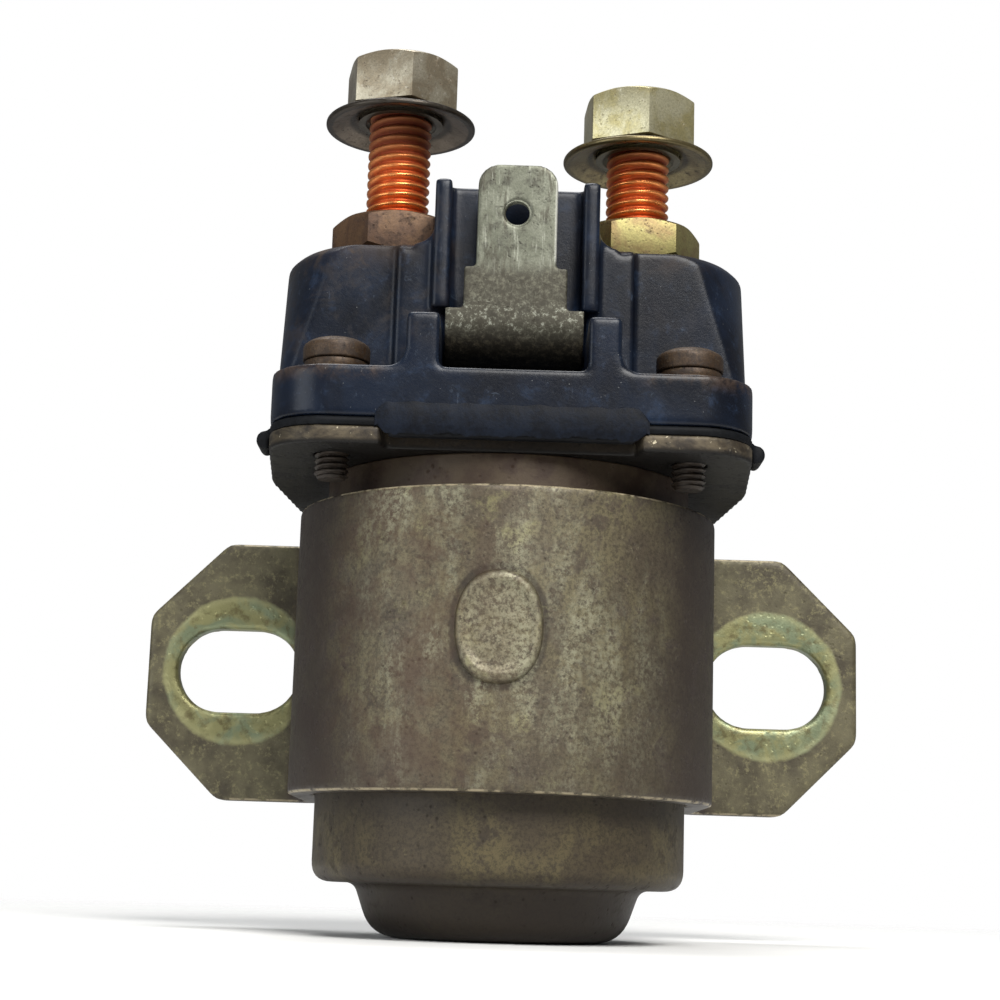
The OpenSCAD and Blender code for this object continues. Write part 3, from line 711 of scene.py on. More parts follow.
@dataclass(frozen=True)
class StrapZinc(WornMetal):
    """Yellow zinc plate on the strap, ringed by washers on the ears, with painted highlights on its front and painted
    shade towards its sides, in the boss's groove and under its edges.
    """

    slot_x: float = 35.0
    ring: float = 9.8
    ear_x: float = 27.5
    axis_y: float = -25.35
    half_height: float = 17.0
    boss_x: float = 4.95
    boss_z: float = 6.35
    boss_shift: float = -0.75

    def material(self) -> bpy.types.Material:
        """Builds the material, with washer rings round the slots and painted shade towards the strap's sides.

        Returns:
            The finished material.
        """
        net = Net(self.name)
        colour, roughness, metallic, height = self.layers(net)
        on_ear = abs(net.x).rise(self.ear_x - 1, self.ear_x + 1)
        along = abs(net.x) - self.slot_x
        reach = (along * along + net.z * net.z) ** 0.5
        wobble = (net.grain(2.5, 3.0) - 0.5) * 0.9
        inside = (reach + wobble).rise(self.ring + 0.35, self.ring - 0.35) * on_ear
        edge = (reach + wobble).rise(self.ring - 1.1, self.ring - 0.2) * inside
        film = net.grain(5.0, 4.0, 0.6, 0.8, seed=4)
        ear = net.mix(net.grain(6.0, 5.0, 0.65, seed=7).rise(0.35, 0.68), paint(98, 93, 70), paint(60, 54, 41))
        ear = net.mix(net.grain(0.9, 4.0, 0.75, seed=8).rise(0.5, 0.72) * 0.6, ear, paint(142, 136, 98))
        colour = net.mix(on_ear * 0.85, colour, ear)
        bright = net.mix(film.rise(0.42, 0.6), paint(152, 150, 104), paint(130, 142, 112))
        bright = net.mix(net.grain(1.6, 5.0, 0.7, seed=5).rise(0.48, 0.68) * 0.75, bright, paint(92, 82, 50))
        colour = net.mix(inside * 0.78, colour, bright)
        colour = net.mix(edge * 0.35, colour, paint(168, 166, 124))
        speckle = net.grain(0.6, 5.0, 0.8, seed=14).rise(0.4, 0.62)
        oval = (abs((net.x - self.boss_shift) / self.boss_x) ** 2.27 + abs((net.z - 1) / self.boss_z) ** 2.27) ** 0.44
        on_front = net.y.rise(self.axis_y - 20, self.axis_y - 22)
        # Painted shade: a dark ring in the groove round the pressed boss.
        groove = abs(oval + 0.05 * (film - 0.5) - 1.05).rise(0.1, 0.02) * on_front
        colour = net.mix(groove * 0.75, colour, paint(42, 34, 26))
        pad = oval.rise(0.98, 0.86) * on_front
        colour = net.mix(pad * speckle * 0.7, colour, paint(138, 132, 108))
        front = (net.y + 5 * (film - 0.5)).rise(self.axis_y - 13, self.axis_y - 24) * (1.0 - on_ear)
        rusty = net.grain(7.0, 6.0, 0.68, 0.5, seed=15).rise(0.42, 0.6) * net.x.rise(6.0, -10.0) * (1.0 - on_ear)
        colour = net.mix(rusty * 0.55, colour, paint(70, 50, 35))
        lit = net.grain(8.0, 6.0, 0.66, 0.4, net.stretched(1.0, 1.0, 0.35), seed=9).rise(0.46, 0.66) * front
        colour = net.mix(lit * speckle * 0.8, colour, paint(140, 138, 114))
        green = net.grain(6.0, 6.0, 0.68, 0.3, seed=11).rise(0.54, 0.68) * front
        colour = net.mix(green * speckle * 0.5, colour, paint(140, 136, 94))
        # Painted shade: the strap's sides, which turn away from the front, are darkened and made less metallic.
        side_shade = (1.0 - front) * (1.0 - on_ear)
        colour = net.mix(side_shade * 0.85, colour, paint(34, 25, 20))
        smear = net.grain(5.0, 6.0, 0.7, 0.6, net.stretched(0.6, 0.6, 1.0), seed=12).rise(0.6, 0.7)
        colour = net.mix(smear * 0.6 * (1.0 - on_ear), colour, paint(46, 38, 30))
        low = (net.z + 6 * (net.grain(9.0, 3.0, seed=3) - 0.5)).rise(-8.0, -17.0) * (1.0 - on_ear)
        colour = net.mix(low * 0.35, colour, paint(52, 42, 34))
        scraped = net.grain(1.8, 5.0, 0.7, seed=13).rise(0.4, 0.55)
        lip = abs(abs(net.z) - self.half_height + 0.15).rise(0.25, 0.05) * scraped
        colour = net.mix(lip * 0.8, colour, paint(168, 156, 128))
        # Painted shade on the strap's end faces at its top and bottom edges.
        under = abs(net.z).rise(self.half_height - 0.12, self.half_height - 0.03)
        colour = net.mix(under * 0.75, colour, paint(36, 30, 25))
        roughness = roughness - 0.12 * inside
        metallic = (metallic + 0.25 * inside).least(1.0)
        return net.finish(colour, roughness, metallic * (1.0 - 0.6 * side_shade), height, self.pit_depth)


@dataclass(frozen=True)
class ShadedCan(WornMetal):
    """The can: brown and mottled, with painted shade that makes its dome nearly black."""

    step_z: float = -27.0
    strap_low: float = -17.0

    def material(self) -> bpy.types.Material:
        """Builds the material, with painted shade below the step and a painted shadow just under the strap.

        Returns:
            The finished material.
        """
        net = Net(self.name)
        colour, roughness, metallic, height = self.layers(net)
        # Painted shade on the dome, below the step.
        dome = net.z.rise(self.step_z + 2.2, self.step_z - 0.6)
        colour = net.mix(dome * 0.85, colour, paint(32, 23, 15))
        shade = net.z.rise(self.strap_low - 4.0, self.strap_low - 1.0)
        colour = net.mix(shade * 0.6, colour, paint(40, 33, 25))
        neck = net.z.rise(self.strap_low + 30, self.strap_low + 33)
        rust = net.grain(3.5, 5.0, 0.6, seed=6).rise(0.4, 0.6)
        colour = net.mix(neck * 0.8, colour, net.mix(rust, paint(56, 39, 28), paint(72, 58, 42)))
        return net.finish(colour, roughness, metallic, height, self.pit_depth)


@dataclass(frozen=True)
class PlateEdge(WornMetal):
    """The yoke plate: grimy all over, with its front rim knocked back to bright metal in places and painted shade on
    its underside.
    """

    top_z: float = 23.1

    def material(self) -> bpy.types.Material:
        """Builds the material, with specks of bare metal along the rim and painted shade under the plate.

        Returns:
            The finished material.
        """
        net = Net(self.name)
        colour, roughness, metallic, height = self.layers(net)
        rim = net.z.rise(self.top_z - 2.0, self.top_z - 1.2) * abs(net.x).rise(13.2, 14.6)
        worn = net.grain(2.2, 5.0, 0.7, 0.4, net.stretched(0.5, 0.5, 1.0), seed=2)
        colour = net.mix(rim * worn.rise(0.38, 0.62) * 0.8, colour, paint(92, 82, 64))
        specks = net.grain(0.8, 4.0, 0.75, seed=3).rise(0.62, 0.7) * rim
        colour = net.mix(specks * 0.9, colour, paint(188, 178, 152))
        # Painted shade: near black on the plate's underside.
        under = net.z.rise(self.top_z - 1.3, self.top_z - 1.9)
        colour = net.mix(under * 0.93, colour, paint(11, 9, 7))
        return net.finish(colour, roughness - 0.1 * specks, metallic, height, self.pit_depth)


@dataclass(frozen=True)
class BrightCopper:
    """Copper plate on the threads: a painted highlight on the crests and painted shade in the dark red roots."""

    name: str
    crest: float = 3.9
    root: float = 3.45
    dull_from: float = 60.0

    def material(self) -> bpy.types.Material:
        """Builds the material from the distance to the nearer stud's axis.

        Returns:
            The finished material.
        """
        net = Net(self.name)
        radius = net.from_stud()
        # Painted highlight on the thread crests and painted shade in the roots, by distance from the axis.
        crest = radius.rise(self.root, self.crest)
        smear = net.grain(1.6, 5.0, 0.65, 0.5, net.stretched(1, 1, 2.5))
        colour = net.mix(crest, paint(178, 76, 36), paint(250, 162, 94))
        colour = net.mix(smear.rise(0.42, 0.66) * 0.55, colour, paint(218, 108, 54))
        rubbed = net.grain(0.35, 3.0, 0.7, seed=2).rise(0.62, 0.72) * crest
        colour = net.mix(rubbed * 0.6, colour, paint(250, 176, 120))
        dull = (net.z + 3 * (net.grain(3.0, 3.0, seed=5) - 0.5)).rise(self.dull_from, self.dull_from + 6)
        colour = net.mix(dull * 0.75, colour, paint(86, 42, 26))
        roughness = 0.2 + 0.2 * (1.0 - crest) + 0.16 * smear + 0.2 * dull
        height = 0.5 + 0.5 * (net.grain(0.4, 3.0, 0.6, seed=3) - 0.5)
        return net.finish(colour, roughness, 0.82 - 0.3 * dull, height, 0.02)


@dataclass(frozen=True)
class CapMoulding:
    """Blue-black moulded cap: satin, dusty, with speckle, scuffs and brown dirt near the terminals."""

    name: str = "blue_black_moulding"
    ledge_z: float = 30.2
    top_z: float = 48.6

    def material(self) -> bpy.types.Material:
        """Builds the material.

        Returns:
            The finished material.
        """
        net = Net(self.name)
        broad = net.grain(11.0, 4.0, 0.6, 0.5)
        cloudy = net.grain(3.0, 6.0, 0.7, 0.3, seed=2)
        fine = net.grain(0.35, 3.0, 0.7, seed=3)
        colour = net.mix(broad.rise(0.38, 0.62), paint(10, 14, 23), paint(17, 25, 39))
        colour = net.mix(cloudy.rise(0.52, 0.74) * 0.55, colour, paint(35, 50, 72))
        tower = net.z.rise(self.ledge_z + 1, self.ledge_z + 6)
        brown = net.grain(3.6, 6.0, 0.68, 0.4, seed=4).rise(0.46, 0.66)
        left = net.x.rise(-4.0, -12.0)
        dirt = brown * tower * (0.12 + 0.4 * left)
        colour = net.mix(dirt * 0.75, colour, paint(50, 42, 35))
        by_nut = net.z.rise(self.top_z - 4.0, self.top_z - 0.3) * net.from_stud().rise(14.2, 11.5)
        grime = by_nut * (0.25 + 0.6 * left) * brown.most(0.35)
        colour = net.mix(grime * 0.8, colour, paint(84, 66, 48))
        near_screw = abs(net.z - self.ledge_z).rise(2.4, 0.3) * abs(net.x).rise(13.5, 16.0)
        rust = near_screw * cloudy.rise(0.42, 0.64)
        colour = net.mix(rust * 0.5, colour, paint(80, 62, 42))
        dust = net.cells(0.95, net.vector("ADD", {0: net.place, 1: (3.0, 1.0, 2.0)}))
        speck = dust.rise(0.09, 0.04) * fine.rise(0.5, 0.62)
        colour = net.mix(speck * 0.6, colour, paint(128, 130, 128))
        streak = net.grain(0.4, 3.0, 0.6, 0.2, net.stretched(1.0, 1.0, 0.08), seed=6).rise(0.64, 0.74)
        scuff = streak * cloudy.rise(0.5, 0.62)
        colour = net.mix(scuff * 0.3, colour, paint(84, 96, 112))
        crazed = net.grain(1.2, 6.0, 0.75, 0.6, seed=8).rise(0.6, 0.72)
        colour = net.mix(crazed * 0.4, colour, paint(66, 78, 94))
        roughness = 0.24 + 0.16 * cloudy + 0.25 * dirt + 0.3 * grime + 0.12 * (fine - 0.5) + 0.12 * crazed
        height = 0.5 + 0.35 * (fine - 0.5) + 0.6 * (cloudy - 0.5) + 0.3 * speck - 0.2 * scuff
        return net.finish(colour, roughness, 0.0, height, 0.04, Specular_IOR_Level=0.22)


@dataclass(frozen=True)
class DishedSteel(WornMetal):
    """A captive washer: a rim of its own shade and a dark ring where it grips the nut's collar."""

    rim: Colour = (0.05, 0.05, 0.05)
    rim_from: float = 8.5
    ring: float = 6.1

    def material(self) -> bpy.types.Material:
        """Builds the material from the distance to the nearer stud's axis.

        Returns:
            The finished material.
        """
        net = Net(self.name)
        colour, roughness, metallic, height = self.layers(net)
        radius = net.from_stud()
        edge = (radius + 0.3 * (net.grain(2.0, 4.0) - 0.5)).rise(self.rim_from, self.rim_from + 0.3)
        colour = net.mix(edge * 0.85, colour, self.rim)
        groove = abs(radius - self.ring).rise(0.75, 0.1)
        colour = net.mix(groove * 0.75, colour, paint(24, 20, 16))
        swirl = net.grain(0.5, 3.0, 0.6, 0.2, seed=4)
        return net.finish(colour, roughness + 0.1 * (swirl - 0.5), metallic, height, self.pit_depth)


@dataclass(frozen=True)
class StainedTin(WornMetal):
    """Tin plate on the blade: grey-green, with dark streaks, a scratched bend, a painted highlight on the tab's right
    edge and painted shade under the bend.
    """

    bend_z: float = 38.5
    shoulder_z: float = 45.0
    half_tab: float = 4.75

    def material(self) -> bpy.types.Material:
        """Builds the material.

        Returns:
            The finished material.
        """
        net = Net(self.name)
        colour, roughness, metallic, height = self.layers(net)
        streak = net.grain(2.2, 6.0, 0.66, 0.6, net.stretched(1.0, 1.0, 0.3), seed=3).rise(0.49, 0.61)
        colour = net.mix(streak * 0.82, colour, paint(60, 57, 45))
        rubbed = net.grain(0.4, 4.0, 0.7, 0.0, net.stretched(1.0, 1.0, 0.1), seed=6).rise(0.56, 0.7)
        colour = net.mix(rubbed * 0.4, colour, paint(168, 170, 156))
        # Painted highlight along the tab's right edge.
        right = abs(net.x - self.half_tab).rise(0.35, 0.1) * net.z.rise(self.shoulder_z, self.shoulder_z + 1)
        colour = net.mix(right * 0.8, colour, paint(206, 206, 196))
        grit = net.grain(0.7, 5.0, 0.78, 0.3, seed=5)
        wave = 3 * (net.grain(4.0, 3.0, seed=8) - 0.5)
        low = (net.z + wave).rise(self.shoulder_z + 1.2, self.shoulder_z - 1.2)
        foot = net.mix(grit.rise(0.44, 0.66), paint(54, 50, 40), paint(96, 94, 80))
        colour = net.mix(low * 0.9, colour, foot)
        near_bend = abs(net.z + 0.6 * wave - self.bend_z - 0.2).rise(2.6, 0.8)
        scraped = grit.rise(0.54, 0.64) * near_bend
        colour = net.mix(scraped * 0.75, colour, paint(150, 152, 140))
        # Painted shade under the bend, on the foot's rolled underside.
        bend_shade = (net.z + 0.5 * wave).rise(self.bend_z - 0.6, self.bend_z - 3.2)
        colour = net.mix(bend_shade * 0.8, colour, net.mix(grit.rise(0.46, 0.66), paint(34, 29, 22), paint(70, 61, 47)))
        return net.finish(colour, roughness + 0.1 * low, metallic, height, self.pit_depth)


@dataclass(frozen=True)
class Moulded:
    """A plain moulded or cut non-metal: plastic, fibre, rubber or tape."""

    name: str
    base: Colour
    shade: Colour
    gloss: float = 0.55
    grain: float = 0.8
    depth: float = 0.03
    weave: float = 0.0
    sheen: float = 0.5

    def material(self) -> bpy.types.Material:
        """Builds the material, with a weave of that pitch where it has one.

        Returns:
            The finished material.
        """
        net = Net(self.name)
        cloudy = net.grain(4.0, 5.0, 0.65, 0.4)
        fine = net.grain(self.grain, 4.0, 0.7, seed=1)
        colour = net.mix((cloudy * 0.6 + fine * 0.4).rise(0.4, 0.62), self.base, self.shade)
        height = 0.5 + 0.6 * (fine - 0.5) + 0.4 * (cloudy - 0.5)
        if self.weave:
            run = {"wave_type": "BANDS", "bands_direction": "Z"}
            yarn = net.add("ShaderNodeTexWave", run, {"Vector": net.place, "Scale": 0.314 / self.weave}, 1)
            height = height + 0.6 * yarn
            colour = net.mix(yarn.rise(0.5, 0.1) * 0.5, colour, tuple(0.5 * c for c in self.shade))
        roughness = self.gloss + 0.15 * (fine - 0.5)
        return net.finish(colour, roughness, 0.0, height, self.depth, Specular_IOR_Level=self.sheen)


@dataclass(frozen=True)
class Machined:
    """Clean turned, drawn or wound metal inside the can and cap."""

    name: str
    base: Colour
    shade: Colour
    gloss: float = 0.3
    line: float = 0.12

    def material(self) -> bpy.types.Material:
        """Builds the material, with fine turning lines round the part.

        Returns:
            The finished material.
        """
        net = Net(self.name)
        lines = net.grain(self.line, 3.0, 0.6, 0.0, net.stretched(0.05, 0.05, 1.0))
        cloudy = net.grain(3.0, 5.0, 0.6, 0.4, seed=1)
        colour = net.mix((cloudy * 0.7 + lines * 0.3).rise(0.38, 0.62), self.base, self.shade)
        return net.finish(colour, self.gloss + 0.2 * (cloudy - 0.5) + 0.1 * lines, 1.0, lines, 0.015)


class Paint(Enum):
    """Every finish on the object, by the piece it belongs to."""

    STRAP = StrapZinc("grimy_strap", paint(84, 75, 60), paint(104, 96, 72), paint(58, 46, 36), paint(136, 130, 104),
                      stain_share=0.55, fleck_share=0.5, pit=0.45, pit_depth=0.07, metal=0.36, gloss=0.5, grit=0.62)
    CAN = ShadedCan("shaded_can", paint(64, 55, 40), paint(86, 77, 52), paint(42, 33, 24), paint(108, 98, 70),
                   stain_share=0.5, fleck_share=0.3, pit=0.5, pit_depth=0.05, metal=0.36, gloss=0.52, seed=2.0,
                   grit=0.6)
    PLATE = PlateEdge("worn_plate", paint(40, 34, 27), paint(50, 42, 32), paint(24, 20, 16), paint(72, 64, 50),
                      fleck_share=0.2, pit=0.5, metal=0.45, gloss=0.55, seed=3.0)
    NUT_TAN = WornMetal("tan_zinc_nut", paint(174, 166, 146), paint(146, 134, 112), paint(104, 92, 74),
                        paint(220, 216, 204), stain_share=0.35, fleck_share=0.4, patch=4.0, pit=0.3, pit_depth=0.03,
                        metal=0.75, gloss=0.36, seed=4.0, painted_shade_from=68.0, painted_shade_to=69.4)
    NUT_YELLOW = WornMetal("yellow_zinc_nut", paint(192, 186, 154), paint(172, 162, 116), paint(112, 100, 72),
                           paint(232, 228, 208), stain_share=0.3, fleck_share=0.35, patch=4.0, pit=0.3,
                           pit_depth=0.03, metal=0.75, gloss=0.34, seed=5.0, painted_shade_from=64.1, painted_shade_to=65.4)
    NUT_OLIVE = WornMetal("olive_zinc_nut", paint(130, 122, 74), paint(112, 92, 58), paint(92, 66, 46),
                          paint(176, 170, 118), stain_share=0.4, fleck_share=0.35, patch=5.0, pit=0.3,
                          pit_depth=0.03, metal=0.6, gloss=0.42, seed=6.0)
    NUT_RUSTY = WornMetal("rusty_nut", paint(98, 72, 48), paint(78, 54, 36), paint(58, 40, 28), paint(136, 110, 76),
                          stain_share=0.55, fleck_share=0.35, patch=4.0, pit=0.3, pit_depth=0.05, metal=0.4,
                          gloss=0.55, seed=7.0)
    WASHER_PLAIN = WornMetal("plain_washer", paint(74, 66, 54), paint(58, 50, 40), paint(40, 33, 26),
                             paint(120, 110, 92), stain_share=0.55, patch=5.0, pit=0.3, pit_depth=0.03,
                             metal=0.65, gloss=0.38, seed=8.0)
    WASHER_DARK = DishedSteel("dark_dished_washer", paint(118, 106, 92), paint(98, 86, 72), paint(64, 54, 44),
                              paint(150, 140, 124), stain_share=0.45, patch=4.0, pit=0.3, pit_depth=0.03,
                              metal=0.7, gloss=0.32, seed=8.0, rim=paint(46, 42, 37))
    WASHER_BRASSY = DishedSteel("brassy_dished_washer", paint(136, 124, 88), paint(112, 98, 66),
                                paint(70, 58, 40), paint(176, 166, 128), stain_share=0.45, patch=4.0, pit=0.3,
                                pit_depth=0.03, metal=0.75, gloss=0.3, seed=9.0, rim=paint(96, 86, 58))
    SCREW = WornMetal("rusty_screw", paint(74, 57, 40), paint(60, 44, 30), paint(38, 28, 21), paint(124, 108, 80),
                      stain_share=0.6, fleck_share=0.45, patch=2.4, pit=0.3, pit_depth=0.05, metal=0.4, gloss=0.5,
                      seed=10.0, painted_shade_from=20.8, painted_shade_to=22.6, grit=0.6)
    BLADE = StainedTin("stained_tin", paint(110, 112, 98), paint(92, 94, 80), paint(66, 64, 52),
                       paint(140, 142, 128), stain_share=0.5, fleck_share=0.4, patch=4.0, pit=0.3, pit_depth=0.035,
                       metal=0.5, gloss=0.44, seed=11.0)
    COPPER = BrightCopper("bright_copper")
    CAP = CapMoulding()
    FLAP = Moulded("torn_rubber", paint(8, 11, 18), paint(17, 23, 34), 0.55, 0.5, 0.08, sheen=0.12)
    RUBBER = Moulded("squeezed_rubber", paint(7, 8, 10), paint(15, 17, 21), 0.62, 0.5, 0.06, sheen=0.14)
    BOBBIN = Moulded("bobbin_nylon", paint(222, 212, 186), paint(206, 194, 164), 0.45)
    FIBRE = Moulded("red_fibre", paint(122, 58, 40), paint(98, 44, 32), 0.6, 0.5)
    TAPE = Moulded("varnished_tape", paint(204, 186, 124), paint(180, 158, 98), 0.45, 0.6, 0.05, weave=0.5)
    BAKED = Moulded("brown_bush", paint(92, 60, 40), paint(74, 46, 32), 0.4)
    SLEEVE = Moulded("lead_sleeve", paint(136, 34, 28), paint(108, 26, 22), 0.4)
    IRON = Machined("turned_iron", paint(176, 176, 174), paint(146, 144, 140), 0.32)
    SPRING = Machined("spring_wire", paint(150, 148, 144), paint(110, 106, 100), 0.28, 0.05)
    BRASS = Machined("drawn_brass", paint(208, 172, 92), paint(180, 142, 70), 0.25)
    WINDING = Machined("enamelled_wire", paint(196, 92, 40), paint(150, 60, 24), 0.22, 0.5)
    BUSBAR = Machined("copper_bar", paint(214, 128, 78), paint(184, 96, 56), 0.26)
    SILVER = Machined("silver_facing", paint(226, 224, 216), paint(196, 192, 180), 0.18)

    def made(self) -> bpy.types.Material:
        """The finish's material, built the first time it is asked for."""
        name = self.value.name
        return bpy.data.materials.get(name) or self.value.material()


class Dresser:
    """Puts finishes on pieces, attaches each to the body it rides on and hides the CAD nodes it stands for."""

    @staticmethod
    def cover(node: str, finish: Paint) -> None:
        """Gives a CAD node, whose shape is kept, its finish.

        Args:
            node: the CAD node.
            finish: its finish.
        """
        data = frame["nodes"][node].data
        data.materials.clear()
        data.materials.append(finish.made())

    @staticmethod
    def place(
        piece: bpy.types.Object, finish: Paint, body: str, slot: str, stands_for: Sequence[str] = ()
    ) -> None:
        """Finishes a new piece and joins it to the frame.

        Args:
            piece: the new piece.
            finish: its finish.
            body: the CAD body it rides on.
            slot: the record's material slot; not used.
            stands_for: the CAD nodes it replaces.
        """
        piece.data.materials.clear()
        piece.data.materials.append(finish.made())
        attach(piece, body)
        if stands_for:
            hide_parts(*stands_for)
        log.info("%s rides on %s, %d faces", piece.name, body, len(piece.data.polygons))


# ---------------------------------------------------------------- sub-assemblies

@dataclass
class Shell:
    """The can, its strap with the pressed boss, and the yoke plate."""

    wall: float = 1.2
    dome: float = 17.0
    taper: float = 2.2
    step_up: float = 6.2
    boss_across: float = 9.9
    boss_up: float = 12.7
    boss_rise: float = 0.8
    boss_dish: float = 0.42
    boss_shift: float = -0.75
    boss_lift: float = 1.0
    rings: int = 26
    spokes: int = 96

    def can(self) -> bpy.types.Object:
        """Makes the drawn can, with its rolled step and the shallow dome under it.

        Returns:
            The can.
        """
        span = Span.of("can")
        radius, low, top, wall = span.size.x / 2, span.low.z, span.high.z, self.wall
        step = low + self.step_up
        foot = self.dome - self.taper
        outline = Bench.rounded([
            (0.0, low, 0.0), (foot, low, 4.2), (self.dome, step, 1.1), (radius, step, 3.0), (radius, top, 0.25),
            (radius - wall, top, 0.25), (radius - wall, step + wall, 1.8), (self.dome - wall, step + wall, 2.2),
            (foot - wall, low + wall, 3.0), (0.0, low + wall, 0.0),
        ], 8)
        return Bench.turned("drawn_can", lambda turn: outline, span.centre, 160, 50)

    def boss(self) -> bpy.types.Object:
        """Makes the oval pad pressed out of the strap: a raised round rim with a slightly sunken middle.

        Returns:
            The boss.
        """
        strap = Span.of("strap_bracket")
        axis = Span.of("can").centre
        wall = axis.y - strap.low.y - self.boss_rise
        work = bmesh.new()
        rows = []
        for ring in range(self.rings + 1):
            share = ring / self.rings
            rise = self._height(share)
            row = []
            for spoke in range(self.spokes):
                turn = math.tau * spoke / self.spokes
                across, up = (share * half * math.copysign(abs(part) ** 0.88, part) for half, part in (
                    (self.boss_across / 2, math.cos(turn)), (self.boss_up / 2, math.sin(turn))))
                wobble = 0.07 * noise.noise(Vector((across, up, 3.0)) * 0.7)
                around = (across + self.boss_shift) / wall
                radius = wall + rise + wobble * (1 - share)
                row.append(work.verts.new((
                    axis.x + radius * math.sin(around), axis.y - radius * math.cos(around), up + self.boss_lift)))
            rows.append(row)
        for inner, outer in zip(rows, rows[1:]):
            for k in range(self.spokes):
                after = (k + 1) % self.spokes
                work.faces.new((inner[k], inner[after], outer[after], outer[k]))
        back = [work.verts.new((v.co.x, v.co.y + 0.5, v.co.z)) for v in rows[-1]]
        for k in range(self.spokes):
            after = (k + 1) % self.spokes
            work.faces.new((rows[-1][k], rows[-1][after], back[after], back[k]))
        work.faces.new(back)
        bmesh.ops.remove_doubles(work, verts=work.verts, dist=1e-3)
        return Bench.to_object("pressed_boss", work, 60)

    def _height(self, share: float) -> float:
        """The boss's rise above the strap at a share of the way from its middle to its outline.

        Args:
            share: 0 at the middle, 1 at the outline.

        Returns:
            The rise.
        """
        if share > 0.9:
            return self.boss_rise * (1 - ((share - 0.9) / 0.1) ** 1.6) - 0.04
        crown = math.exp(-(((share - 0.84) / 0.1) ** 2))
        return self.boss_rise - self.boss_dish * (1 - crown)

    def flattened(self, strap: bpy.types.Object) -> bpy.types.Object:
        """Presses the strap's own plain boss flat, ready for the shaped one.

        Args:
            strap: the strap, which is changed.

        Returns:
            The same strap.
        """
        axis = Span.of("can").centre
        wall = axis.y - Span.of("strap_bracket").low.y - self.boss_rise
        for vertex in strap.data.vertices:
            place = vertex.co / MM
            out = Vector((place.x - axis.x, place.y - axis.y))
            if out.y < 0 and out.length > wall and abs(out.x) < self.boss_across:
                out *= wall / out.length
                vertex.co = Vector((axis.x + out.x, axis.y + out.y, place.z)) * MM
        return strap

    def build(self) -> None:
        """Makes and dresses the shell's pieces."""
        strap = self.flattened(Bench.melted("strap_bracket", "strap", 0.42, 3))
        Dresser.place(strap, Paint.STRAP, "housing", "bracket_zinc", ["strap_bracket"])
        Dresser.place(self.boss(), Paint.STRAP, "housing", "bracket_zinc")
        plate = Bench.melted("yoke_plate", "plate", 0.24, 7, 0.3)
        Dresser.place(plate, Paint.PLATE, "housing", "plate_steel", ["yoke_plate"])
        Dresser.place(self.can(), Paint.CAN, "housing", "can_steel", ["can"])


